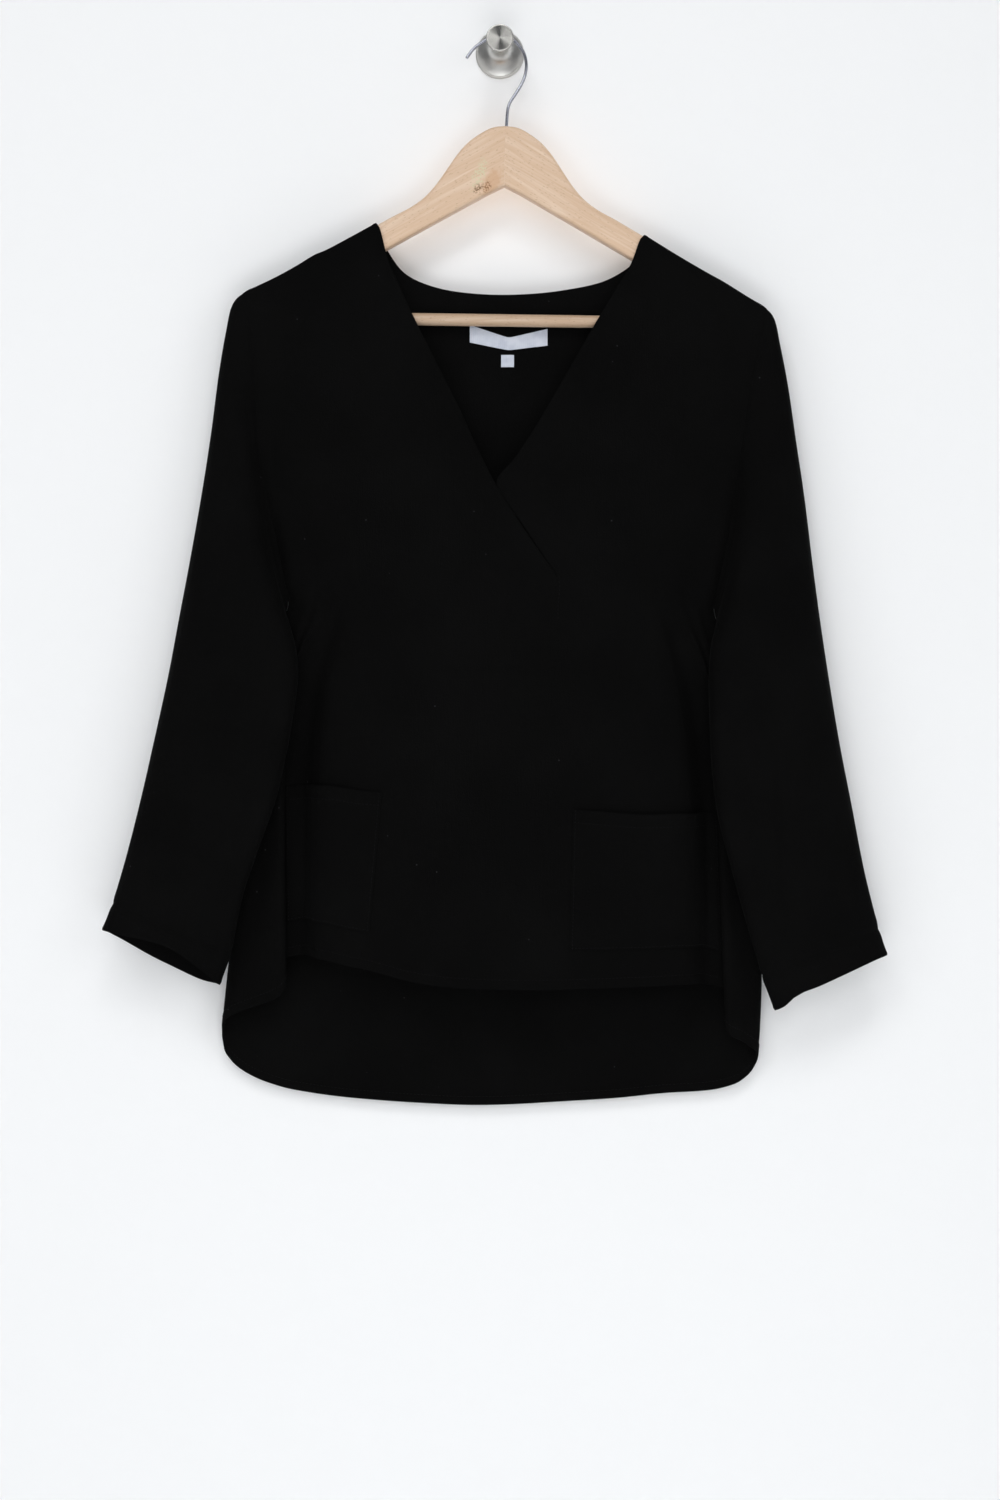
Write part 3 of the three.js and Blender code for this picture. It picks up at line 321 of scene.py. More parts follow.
# Where the back neckline leaves each arm: in from the neck point, and the rounding's row
NECK_TURN = ((0.8, 1), (2.2, 2))
RING_COLUMNS = ("outer_x", "outer_z", "outer_y", "inner_x", "inner_z", "inner_y", "depth")
SLEEVE_RINGS = {
    Side.RIGHT: (
        (-219, -214, -30, -180, -474, -29, 8.7),
        (-227.5, -224, -30.5, -181.5, -480.5, -31, 10),
        (-233, -247, -31, -182, -486, -34.5, 12),
        (-239, -283, -32, -179.5, -493, -39.5, 14),
        (-245, -331, -34, -175.5, -504, -46, 16.5),
        (-252.5, -381, -36, -171.5, -519, -52, 18.5),
        (-262, -437, -38, -170, -541, -57, 20),
        (-271.5, -489, -40, -173.5, -571, -62, 20.5),
        (-281, -541, -42, -179.5, -605, -61, 20),
        (-292, -592, -43, -188.5, -643, -60, 19),
        (-303, -641, -44, -202, -681, -57, 17),
        (-315, -689, -45, -216, -722, -54, 15),
        (-327, -731, -46, -226.5, -771, -51, 13),
    ),
    Side.LEFT: (
        (227, -227, -30, 182, -480, -29, 8.7),
        (233.5, -237, -30.5, 183.5, -486.5, -31, 10),
        (238, -257, -31, 184, -492, -34.5, 12),
        (244.5, -291, -32, 182, -499, -39.5, 14),
        (251, -337, -34, 179, -510, -46, 16.5),
        (258, -386, -36, 176.5, -526, -52, 18.5),
        (264.3, -440, -38, 175.5, -551, -57, 20),
        (270.8, -491, -40, 176, -583, -62, 20.5),
        (278.3, -543, -42, 178, -619, -61, 20),
        (286.8, -595, -43, 183, -657, -60, 19),
        (297, -648, -44, 193, -695, -57, 17),
        (307.5, -703, -45, 206, -742, -54, 15),
        (319.5, -752, -46, 221, -791.5, -51, 13),
    ),
}
CUFF_RING = {
    Side.RIGHT: (-336, -753, -46.5, -236.5, -799, -50, 13),
    Side.LEFT: (327, -774, -46.5, 232, -820.5, -50, 13),
}
# How far the cuff's lower edge lifts off a straight line, from its outer corner to its inner one
CUFF_LIFT_COLUMNS = ("across", "front", "back")
CUFF_LIFT = {
    Side.RIGHT: Table(CUFF_LIFT_COLUMNS, (
        (0, 0, 0), (0.15, 3.5, -1.5), (0.39, 9.6, -4), (0.58, 11.4, -4.5), (0.84, 5.6, -4), (1, 0, 0)
    )),
    Side.LEFT: Table(CUFF_LIFT_COLUMNS, (
        (0, 0, 0), (0.12, 1.6, 0.5), (0.42, 2.8, 1.5), (0.61, 3.4, 1.5), (0.8, 4.6, 0.8), (0.92, 0.6, 0),
        (1, 0, 0)
    )),
}
ARM_TOP = Table(("run", "drop"), (
    (0, 0),
    (10, -1.2),
    (19, -5.4),
    (31, -14),
    (40.5, -24.7),
    (49.3, -37.7),
    (58, -50.3),
    (67.5, -61.2),
    (79.5, -70.2),
    (95.5, -78.8),
    (112, -88.3),
))
ARM_TIP = (
    (212, -145.8), (219, -152), (222, -162), (217, -173), (205, -178), (193, -174), (187, -163), (180, -152)
)
ARM_BOTTOM = ((107, -110.8), (52, -79.5), (14, -58), (0, -51))


def mix(a, b, t):
    """Value between a and b: a at t = 0 and b at t = 1."""
    return a + (b - a) * t


def smooth(t):
    """Eases t, from 0 to 1, at both ends."""
    return t * t * (3 - 2 * t)


def step_down(distance: np.ndarray, reach: float, soft: float) -> np.ndarray:
    """1 nearer than a reach and 0 past it, with a soft change.

    Args:
        distance: Distances.
        reach: Where the change is half done.
        soft: Length of the change.

    Returns:
        A number from 0 to 1 for each distance.
    """
    return smooth(np.clip((reach + soft / 2 - distance) / soft, 0, 1))


def bell(distance: np.ndarray, width: float) -> np.ndarray:
    """A soft bump: 1 at no distance, and nearly 0 past twice the width."""
    return np.exp(-((distance / width) ** 2))


def point(x: float, y: float, z: float) -> np.ndarray:
    """A point as an array."""
    return np.array([x, y, z], float)


# Smooth surfaces from rows of points


def spline(points: np.ndarray, knots: np.ndarray, stops: Sequence[np.ndarray], closed: bool = False,
           after: np.ndarray | None = None) -> np.ndarray:
    """A smooth curve through each column of points.

    Args:
        points: Points along the first axis.
        knots: The curve's own places of the points, one more of them where it is closed.
        stops: For each stretch between points, places from 0 up to 1 where it is read.
        closed: Whether the last point joins the first.
        after: A point that lies past the last one, which settles the curve's direction there.

    Returns:
        Points of the curve, the given ones among them.
    """
    gaps = np.diff(knots)
    shape = (-1,) + (1,) * (points.ndim - 1)
    if closed:
        steps = (np.roll(points, -1, axis=0) - points) / gaps.reshape(shape)
        before_gap, after_gap = np.roll(gaps, 1).reshape(shape), gaps.reshape(shape)
        tangents = (np.roll(steps, 1, axis=0) * after_gap + steps * before_gap) / (before_gap + after_gap)
        ends = np.roll(points, -1, axis=0)
        end_tangents = np.roll(tangents, -1, axis=0)
    else:
        steps = np.diff(points, axis=0) / gaps.reshape(shape)
        tangents = np.empty_like(points)
        tangents[0], tangents[-1] = steps[0], steps[-1]
        if after is not None:
            tangents[-1] = (steps[-1] + (after - points[-1]) / gaps[-1]) / 2
        left, right = gaps[:-1].reshape(shape), gaps[1:].reshape(shape)
        tangents[1:-1] = (steps[:-1] * right + steps[1:] * left) / (left + right)
        ends, end_tangents = points[1:], tangents[1:]
    found = []
    for i, stretch in enumerate(stops):
        for t in stretch:
            bend = (1 - t) * t * gaps[i]
            straight = mix(points[i], ends[i], smooth(t))
            found.append(straight + bend * ((1 - t) * tangents[i] - t * end_tangents[i]))
    if not closed:
        found.append(points[-1])
    return np.array(found)


def chords_of(points: np.ndarray, closed: bool = False) -> np.ndarray:
    """Mean distance from each point, or row of points, to the next."""
    following = np.roll(points, -1, axis=0) if closed else points[1:]
    here = points if closed else points[:-1]
    chords = np.linalg.norm(following - here, axis=-1)
    while chords.ndim > 1:
        chords = chords.mean(axis=-1)
    return chords


def knots_of(points: np.ndarray, closed: bool = False) -> np.ndarray:
    """Places of points along a curve, by the square root of their distance apart.

    Args:
        points: Points along the first axis.
        closed: Whether the last point joins the first.

    Returns:
        One place a point, and one more where it is closed.
    """
    return np.concatenate([[0], np.cumsum(np.sqrt(chords_of(points, closed) + 1e-6))])


def stops_of(points: np.ndarray, step: float, ease: dict[int, float] | None = None,
             extra: dict[int, float] | None = None) -> list[np.ndarray]:
    """Where each stretch between points is read, so that the result has about the given step.

    Args:
        points: Points along the first axis.
        step: Distance between the points that come out, in millimetres.
        ease: Stretches whose stops crowd, with a power: over 1 towards the start, under 0 towards the end.
        extra: Stretches with more stops, with how many times as many.

    Returns:
        For each stretch, places from 0 up to 1.
    """
    stops = []
    for i, chord in enumerate(chords_of(points)):
        count = max(1, round(chord / step * (extra or {}).get(i, 1)))
        even = np.arange(count) / count
        power = (ease or {}).get(i, 1)
        stops.append(even**power if power > 0 else 1 - (1 - even) ** -power)
    return stops


def refined(points: np.ndarray, step: float, after: np.ndarray | None = None,
            ease: dict[int, float] | None = None, extra: dict[int, float] | None = None) -> np.ndarray:
    """A smooth open curve through each column of points, read at about the given step.

    Args:
        points: Points along the first axis.
        step: Distance between the points that come out.
        after: A point that lies past the last one.
        ease: Stretches whose stops crowd towards an end, as for stops_of.
        extra: Stretches with more stops.

    Returns:
        Points of the curve.
    """
    return spline(points, knots_of(points), stops_of(points, step, ease, extra), after=after)


def flat_line(pairs: Sequence[tuple[float, float]], y: float = 0.0) -> np.ndarray:
    """A line of points from pairs of x and z."""
    return np.array([(x, y, z) for x, z in pairs], float)


def run_along(points: np.ndarray) -> np.ndarray:
    """How far each point lies from the first, along the line through them."""
    return np.concatenate([[0], np.cumsum(np.linalg.norm(np.diff(points, axis=0), axis=1))])


def distance_to(points: np.ndarray, path: np.ndarray, flat: bool = False) -> tuple[np.ndarray, np.ndarray]:
    """Distance from points to a path, and how far along the path its nearest place lies.

    Args:
        points: Points to measure from.
        path: The path's points.
        flat: Whether only x and z count.

    Returns:
        Distances in millimetres, and places from 0 to 1 along the path.
    """
    axes = [0, 2] if flat else [0, 1, 2]
    p = points[:, axes]
    route = path[:, axes]
    lengths = np.linalg.norm(np.diff(route, axis=0), axis=1)
    total = max(lengths.sum(), 1e-9)
    best = np.full(len(p), np.inf)
    place = np.zeros(len(p))
    done = 0.0
    for a, b, length in zip(route[:-1], route[1:], lengths):
        if length < 1e-9:
            continue
        way = (b - a) / length
        t = np.clip((p - a) @ way, 0, length)
        gap = np.linalg.norm(p - a - t[:, None] * way, axis=1)
        nearer = gap < best
        best[nearer] = gap[nearer]
        place[nearer] = (done + t[nearer]) / total
        done += length
    return best, place


@dataclass(frozen=True)
class Crease:
    """A soft fold: its line in x and z, its height (a trough below 0) and its half width."""

    line: tuple[tuple[float, float], ...]
    height: float
    width: float


@dataclass
class Sheet:
    """One piece of cloth: its middle surface, and how its two faces stand off it."""

    name: str
    points: np.ndarray = field(default_factory=lambda: np.empty((0, 3)))
    quads: np.ndarray = field(default_factory=lambda: np.empty((0, 4), int))
    grids: dict[str, np.ndarray] = field(default_factory=dict)
    normals: np.ndarray | None = None
    outer: np.ndarray | None = None
    inner: np.ndarray | None = None

    def add(self, name: str, grid: np.ndarray, closed: bool = False) -> "Sheet":
        """Adds rows of points and the faces between them.

        Args:
            name: Name of the grid.
            grid: Points by row and column.
            closed: Whether each row's end joins its start.

        Returns:
            The sheet.
        """
        rows, columns = grid.shape[:2]
        index = len(self.points) + np.arange(rows * columns).reshape(rows, columns)
        self.points = np.vstack([self.points, grid.reshape(-1, 3)])
        if closed:
            index = np.hstack([index, index[:, :1]])
        corners = [index[:-1, :-1], index[:-1, 1:], index[1:, 1:], index[1:, :-1]]
        self.quads = np.vstack([self.quads, np.stack(corners, -1).reshape(-1, 4)])
        self.grids[name] = index
        return self

    def weld(self) -> "Sheet":
        """Joins points that lie in one place, and starts the two faces' arrays."""
        keys = np.round(self.points * 500).astype(np.int64)
        _, first, back = np.unique(keys, axis=0, return_index=True, return_inverse=True)
        back = back.reshape(-1)
        self.points = self.points[first]
        self.quads = back[self.quads]
        self.grids = {name: back[index] for name, index in self.grids.items()}
        self.outer = np.zeros(len(self.points))
        self.inner = np.zeros(len(self.points))
        self.normals = unit(self.normal_sums())
        return self

    def face_vectors(self) -> np.ndarray:
        """A vector along each face's normal, twice as long as the face's area."""
        a, b, c, d = (self.points[self.quads[:, k]] for k in range(4))
        return np.cross(c - a, d - b)

    def normal_sums(self) -> np.ndarray:
        """Sum of the face normals round each point."""
        faces = self.face_vectors()
        sums = np.zeros_like(self.points)
        for k in range(4):
            np.add.at(sums, self.quads[:, k], faces)
        return sums

    def rim(self) -> np.ndarray:
        """Edges that only one face has, in that face's direction."""
        edges = np.vstack([self.quads[:, [k, (k + 1) % 4]] for k in range(4)])
        edges = edges[edges[:, 0] != edges[:, 1]]
        keys = np.sort(edges, axis=1)
        _, back, count = np.unique(keys, axis=0, return_inverse=True, return_counts=True)
        return edges[count[back.reshape(-1)] == 1]

    def path(self, grid: str, edge: Edge, start: int = 0, end: int | None = None) -> np.ndarray:
        """Points along an edge of a grid.

        Args:
            grid: Name of the grid.
            edge: Which edge.
            start: First point taken.
            end: Where to stop.

        Returns:
            The points.
        """
        index = self.grids[grid]
        lines = {
            Edge.FIRST_ROW: index[0],
            Edge.LAST_ROW: index[-1],
            Edge.FIRST_COLUMN: index[:, 0],
            Edge.LAST_COLUMN: index[:, -1],
        }
        return self.points[lines[edge][start:end]]

    def shift(self, by: np.ndarray) -> None:
        """Moves the middle surface along its normals."""
        self.points = self.points + self.normals * by[:, None]

    def fold(self, creases: Sequence[Crease], facing: float) -> None:
        """Works creases into the cloth.

        Args:
            creases: The creases.
            facing: -1 for those on the side that faces the viewer, 1 for the wall's side.
        """
        toward = np.clip(facing * self.normals[:, 1] * CREASE_FACING, 0, 1)
        total = np.zeros(len(self.points))
        for crease in creases:
            line = refined(flat_line(crease.line), CREASE_STEP)
            gap, place = distance_to(self.points, line, flat=True)
            from_end = np.minimum(place, 1 - place)
            taper = smooth(np.clip(from_end / CREASE_FADE + CREASE_START, 0, 1))
            total += crease.height * bell(gap, crease.width) * taper
        self.shift(total * toward)

    def seam(self, path: np.ndarray, depth: float = 0.55, width: float = 2.3) -> None:
        """A sewn seam: a narrow groove, with the allowance under it raising one soft band beside it."""
        gap, _ = distance_to(self.points, path)
        band = bell(gap - ALLOWANCE_AT, ALLOWANCE_WIDTH)
        self.shift(-depth * bell(gap, width) + ALLOWANCE_RISE * band)

    def hem(self, path: np.ndarray, height: float, turned_in: float = 0.75) -> None:
        """A hem turned to the inside: double cloth up to its height, and a dimple where it is stitched.

        Args:
            path: The cloth's edge.
            height: Height of the turned cloth.
            turned_in: How much thicker the cloth is there.
        """
        gap, _ = distance_to(self.points, path)
        dimple = EDGE_PULL * bell(gap - (height - STITCH_IN), STITCH_WIDTH)
        self.inner += turned_in * step_down(gap, height, HEM_SOFT) - dimple
        self.outer += HEM_SHOW * step_down(gap, height - HEM_SHOW_IN, HEM_SHOW_SOFT) - dimple
        self.outer -= EDGE_PULL * bell(gap, EDGE_WIDTH)

    def inset(self, grid: str, edge: Edge, distance: float, trim: float = 0.0) -> np.ndarray:
        """A line on the outer face at a distance from an edge, as points and the cloth's normals there.

        Args:
            grid: Name of the grid.
            edge: The edge it keeps its distance from.
            distance: Distance over the cloth.
            trim: How far it stops short of the grid's two ends.

        Returns:
            Rows of point and normal, six numbers each.
        """
        index = self.grids[grid]
        if edge in (Edge.LAST_ROW, Edge.FIRST_ROW):
            index = index if edge is Edge.FIRST_ROW else index[::-1]
        else:
            index = index.T if edge is Edge.FIRST_COLUMN else index.T[::-1]
        found = []
        for line in index.T:
            along = run_along(self.points[line])
            if along[-1] < distance:
                continue
            k = max(1, int(np.searchsorted(along, distance)))
            t = (distance - along[k - 1]) / (along[k] - along[k - 1])
            a, b = line[k - 1], line[k]
            normal = mix(self.normals[a], self.normals[b], t)
            lift = CLOTH / 2 + mix(self.outer[a], self.outer[b], t)
            found.append(np.concatenate([mix(self.points[a], self.points[b], t) + normal * lift, normal]))
        line = np.array(found)
        along = run_along(line[:, :3])
        return line[(along >= trim) & (along <= along[-1] - trim)]

    def cut(self) -> tuple[float, float]:
        """Greatest width and length over the cloth, in metres. Its grids lie beside each other."""
        grids = [self.points[index] for index in self.grids.values()]
        widths = [np.linalg.norm(np.diff(rows, axis=1), axis=2).sum(axis=1).max() for rows in grids]
        lengths = [np.linalg.norm(np.diff(rows, axis=0), axis=2).sum(axis=0).max() for rows in grids]
        return float(sum(widths)) / MM_PER_M, float(max(lengths)) / MM_PER_M

    def solid(self, material: Material, thick: float = CLOTH) -> Object:
        """The cloth as a thin closed wall.

        Args:
            material: Its finish.
            thick: Thickness of the cloth.

        Returns:
            The new object.
        """
        outside = self.points + self.normals * (thick / 2 + self.outer)[:, None]
        inside = self.points - self.normals * (thick / 2 + self.inner)[:, None]
        count = len(self.points)
        rim = self.rim()
        wall = np.stack([rim[:, 0], rim[:, 0] + count, rim[:, 1] + count, rim[:, 1]], -1)
        faces = np.vstack([self.quads, self.quads[:, ::-1] + count, wall])
        return mesh_object(self.name, np.vstack([outside, inside]), faces, material)


def unit(vectors: np.ndarray) -> np.ndarray:
    """Vectors of length 1."""
    return vectors / np.maximum(np.linalg.norm(vectors, axis=-1, keepdims=True), 1e-12)


def sew(sheets: Sequence[Sheet]) -> None:
    """Gives sheets that share a seam the same normals along it."""
    sums: dict[bytes, np.ndarray] = {}
    keyed = []
    for sheet in sheets:
        rim = np.unique(sheet.rim())
        keys = [row.tobytes() for row in np.round(sheet.points[rim] * 20).astype(np.int64)]
        own = sheet.normal_sums()[rim]
        for key, normal in zip(keys, own):
            sums[key] = sums.get(key, 0) + normal
        keyed.append((sheet, rim, keys))
    for sheet, rim, keys in keyed:
        sheet.normals[rim] = unit(np.array([sums[key] for key in keys]))


# Meshes


def in_scene(name: str, data: ID) -> Object:
    """A new object in the scene that holds a mesh, a lamp or a camera."""
    made = bpy.data.objects.new(name, data)
    bpy.context.scene.collection.objects.link(made)
    return made


def dress(made: Object, node: str) -> None:
    """Attaches a piece to the body and hides the CAD node that it replaces.

    Args:
        made: The piece.
        node: The CAD node that it replaces.
    """
    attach(made, BODY)
    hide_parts(node)
    log.info("%s: %d faces", made.name, len(made.data.polygons))


def mesh_object(name: str, points: np.ndarray, faces: Sequence, material: Material,
                crease_angle: float = 50.0) -> Object:
    """A mesh object in metres, smooth but for its sharp edges.

    Args:
        name: Name of the object.
        points: Points in millimetres.
        faces: Faces as point numbers, where a number that comes twice in a row is left out.
        material: Its finish.
        crease_angle: Angle in degrees past which an edge is sharp.

    Returns:
        The object, in the scene.
    """
    mesh = bpy.data.meshes.new(name)
    clean = []
    for face in np.asarray(faces).tolist() if isinstance(faces, np.ndarray) else faces:
        kept = [v for k, v in enumerate(face) if v != face[k - 1]]
        if len(kept) > 2:
            clean.append(kept)
    mesh.from_pydata((np.asarray(points) / MM_PER_M).tolist(), [], clean)
    mesh.validate()
    mesh.polygons.foreach_set("use_smooth", [True] * len(mesh.polygons))
    mesh.set_sharp_from_angle(angle=math.radians(crease_angle))
    mesh.materials.append(material)
    return in_scene(name, mesh)


def turned(name: str, profile: Sequence[tuple[float, float]], axis: Vector, at: np.ndarray,
           material: Material, around: int = 96, crease_angle: float = 38.0) -> Object:
    """A turned piece, with a UV map whose U runs round it.

    Args:
        name: Name of the object.
        profile: Pairs of radius and distance along the axis, from pole to pole.
        axis: Direction of the axis.
        at: Where the axis starts.
        material: Its finish.
        around: Number of sides.
        crease_angle: Angle in degrees past which an edge is sharp.

    Returns:
        The object.
    """
    turn = Vector((0, 0, 1)).rotation_difference(axis).to_matrix()
    places, faces, uvs = [], [], []
    rows = []
    for radius, along in profile:
        if radius < 1e-6:
            rows.append([len(places)] * around)
            places.append(turn @ Vector((0, 0, along)))
            continue
        start = len(places)
        for k in range(around):
            angle = 2 * math.pi * k / around
            places.append(turn @ Vector((radius * math.cos(angle), radius * math.sin(angle), along)))
        rows.append(list(range(start, start + around)))
    for i in range(len(rows) - 1):
        for k in range(around):
            n = (k + 1) % around
            face = [rows[i][k], rows[i][n], rows[i + 1][n], rows[i + 1][k]]
            uv = [(k, i), (k + 1, i), (k + 1, i + 1), (k, i + 1)]
            pairs = [(v, u) for j, (v, u) in enumerate(zip(face, uv)) if v != face[j - 1]]
            faces.append([v for v, _ in pairs])
            uvs.extend((u / around, v / len(rows)) for _, (u, v) in pairs)
    made = mesh_object(name, np.array([list(p) for p in places]) + at, faces, material, crease_angle)
    layer = made.data.uv_layers.new(name="around")
    layer.data.foreach_set("uv", [value for uv in uvs for value in uv])
    return made


# Materials


def linear(colour: str) -> tuple[float, float, float, float]:
    """An sRGB hex colour as linear numbers with full alpha."""
    channels = [int(colour[i:i + 2], 16) / 255 for i in (1, 3, 5)]
    return (*(c / 12.92 if c <= 0.04045 else ((c + 0.055) / 1.055) ** 2.4 for c in channels), 1.0)


def per_mm(size: float) -> float:
    """Scale of a pattern on coordinates in metres whose grain is so many millimetres."""
    return MM_PER_M / size


def set_inputs(tree: NodeTree, node: Node, inputs: dict) -> None:
    """Gives a node's inputs their values.

    Args:
        tree: The node tree.
        node: The node.
        inputs: Values, or output sockets to link, by input name or number.
    """
    for key, value in inputs.items():
        if isinstance(value, NodeSocket):
            tree.links.new(value, node.inputs[key])
        else:
            node.inputs[key].default_value = value


def add_node(tree: NodeTree, kind: str, settings: dict | None = None,
             inputs: dict | None = None) -> Node:
    """Adds a node with its settings, values and links.

    Args:
        tree: The node tree.
        kind: The node's type name.
        settings: Its own properties.
        inputs: Its inputs, as for set_inputs.

    Returns:
        The node.
    """
    node = tree.nodes.new(kind)
    for key, value in (settings or {}).items():
        setattr(node, key, value)
    set_inputs(tree, node, inputs or {})
    return node


def new_material(name: str) -> tuple[Material, NodeTree, Node, NodeSocket]:
    """A material with a Principled shader.

    Args:
        name: Name of the material.

    Returns:
        The material, its tree, the shader and the object coordinates.
    """
    material = bpy.data.materials.new(name)
    material.use_nodes = True
    tree = material.node_tree
    tree.nodes.clear()
    shader = add_node(tree, "ShaderNodeBsdfPrincipled")
    add_node(tree, "ShaderNodeOutputMaterial", inputs={"Surface": shader.outputs["BSDF"]})
    place = add_node(tree, "ShaderNodeTexCoord").outputs["Object"]
    return material, tree, shader, place


def noise(tree: NodeTree, place: NodeSocket, scale: float, detail: float = 2.0,
          **more) -> NodeSocket:
    """A noise pattern.

    Args:
        tree: The node tree.
        place: Coordinates.
        scale: Scale of the pattern on them.
        detail: How many finer layers it has.
        more: Other inputs of the node, by name.

    Returns:
        The pattern's factor.
    """
    inputs = {"Vector": place, "Scale": scale, "Detail": detail, **more}
    return add_node(tree, "ShaderNodeTexNoise", inputs=inputs).outputs["Fac"]


def remap(tree: NodeTree, value: NodeSocket, to_low: float, to_high: float,
          low: float = 0.0, high: float = 1.0) -> NodeSocket:
    """A value carried from the range low to high over to another range, and held within it."""
    inputs = {"Value": value, "From Min": low, "From Max": high, "To Min": to_low, "To Max": to_high}
    return add_node(tree, "ShaderNodeMapRange", inputs=inputs).outputs["Result"]


def stretched(tree: NodeTree, place: NodeSocket, *sizes: float) -> NodeSocket:
    """Coordinates on which a pattern of scale 1 has grains of these sizes along X, Y and Z, in mm."""
    inputs = {"Vector": place, "Scale": [per_mm(size) for size in sizes]}
    return add_node(tree, "ShaderNodeMapping", inputs=inputs).outputs["Vector"]


def relief(tree: NodeTree, height: NodeSocket, strength: float,
           depth: float) -> NodeSocket:
    """A normal that a height pattern tilts, by a strength from 0 to 1 and a depth in metres."""
    inputs = {"Strength": strength, "Distance": depth, "Height": height}
    return add_node(tree, "ShaderNodeBump", inputs=inputs).outputs["Normal"]


def ramp(tree: NodeTree, factor: NodeSocket,
         stops: Sequence[tuple[float, str]]) -> NodeSocket:
    """A colour ramp of hex colours.

    Args:
        tree: The node tree.
        factor: What drives it.
        stops: Pairs of place and colour, at least two.

    Returns:
        The colour output.
    """
    node = add_node(tree, "ShaderNodeValToRGB", inputs={"Fac": factor})
    elements = node.color_ramp.elements
    while len(elements) < len(stops):
        elements.new(0.5)
    for element, (place, colour) in zip(elements, stops):
        element.position = place
        element.color = linear(colour)
    return node.outputs["Color"]


def blend_colours(tree: NodeTree, factor: NodeSocket, a, b) -> NodeSocket:
    """Mixes two colours.

    Args:
        tree: The node tree.
        factor: How much of b.
        a: First colour, a value or a socket.
        b: Second colour, a value or a socket.

    Returns:
        The colour output.
    """
    settings = {"data_type": "RGBA", "blend_type": "MIX"}
    return add_node(tree, "ShaderNodeMix", settings, {0: factor, 6: a, 7: b}).outputs[2]


@dataclass(frozen=True)
class Crepe:
    """Woven polyester crepe: twisted yarns give a dry, pebbled surface that hardly shines."""

    name: str = "woven_polyester_crepe"
    black: str = "#060606"
    worn: str = "#080808"
    lint: str = "#4a4a4c"
    roughness: float = 0.86
    pebble_mm: float = 1.5
    yarn_mm: tuple[float, float] = (1.1, 16.0)
    cloud_mm: float = 70.0
    lint_mm: float = 26.0
    relief_m: float = 0.00035
    specular: float = 0.04
    sheen: float = 0.005

    def material(self) -> Material:
        """The cloth's material. Real pebbles are about 0.4 mm; they are drawn coarser, so that they show."""
        material, tree, shader, place = new_material(self.name)
        wide = noise(tree, place, per_mm(self.cloud_mm), 3.0)
        tone = ramp(tree, wide, [(0.38, self.black), (0.66, self.worn)])
        specks = add_node(tree, "ShaderNodeTexVoronoi", inputs={
            "Vector": place, "Scale": per_mm(self.lint_mm)})
        near = remap(tree, specks.outputs["Distance"], 0.5, 0.0, 0.016, 0.024)
        pebbles = noise(tree, place, per_mm(self.pebble_mm), 2.5, Roughness=0.62)
        across, along = self.yarn_mm
        yarns = noise(tree, stretched(tree, place, across, across, along), 1.0, 1.5)
        height = add_node(tree, "ShaderNodeMath", {"operation": "MULTIPLY_ADD"}, {
            0: yarns, 1: 0.55, 2: pebbles})
        set_inputs(tree, shader, {
            "Base Color": blend_colours(tree, near, tone, linear(self.lint)),
            "Normal": relief(tree, height.outputs["Value"], 0.55, self.relief_m),
            "Roughness": remap(tree, pebbles, self.roughness - 0.06, self.roughness + 0.08),
            "Specular IOR Level": self.specular,
            "Sheen Weight": self.sheen,
            "Sheen Roughness": 0.45,
        })
        return material


@dataclass(frozen=True)
class Thread:
    """Spun polyester sewing thread: a little smoother than the cloth, so that stitches catch more light."""

    name: str
    colour: str
    roughness: float = 0.6
    twist_mm: float = 0.5
    relief_m: float = 0.0001
    specular: float = 0.12

    def material(self) -> Material:
        """The thread's material, with its twist as a fine bump."""
        material, tree, shader, place = new_material(self.name)
        set_inputs(tree, shader, {
            "Base Color": linear(self.colour),
            "Normal": relief(tree, noise(tree, place, per_mm(self.twist_mm)), 0.4, self.relief_m),
            "Roughness": self.roughness,
            "Specular IOR Level": self.specular,
        })
        return material


@dataclass(frozen=True)
class SatinRibbon:
    """Woven satin ribbon of a neck label: fine ribs across it and a soft silky shine."""

    name: str = "woven_satin_ribbon"
    white: str = "#c3c8d3"
    shade: str = "#b4bac8"
    rib_mm: float = 0.9
    cloud_mm: float = 9.0
    relief_m: float = 0.00012

    def material(self) -> Material:
        """The ribbon's material. Its ribs are about 0.3 mm in life, and drawn coarser."""
        material, tree, shader, place = new_material(self.name)
        ribs = add_node(tree, "ShaderNodeTexWave", {"wave_type": "BANDS", "bands_direction": "X"}, {
            "Vector": place, "Scale": per_mm(self.rib_mm) / 6.283, "Distortion": 0.6, "Detail": 1.0})
        cloudy = noise(tree, place, per_mm(self.cloud_mm))
        set_inputs(tree, shader, {
            "Base Color": ramp(tree, cloudy, [(0.35, self.shade), (0.65, self.white)]),
            "Normal": relief(tree, ribs.outputs["Fac"], 0.25, self.relief_m),
            "Roughness": 0.5,
            "Sheen Weight": 0.15,
        })
        return material


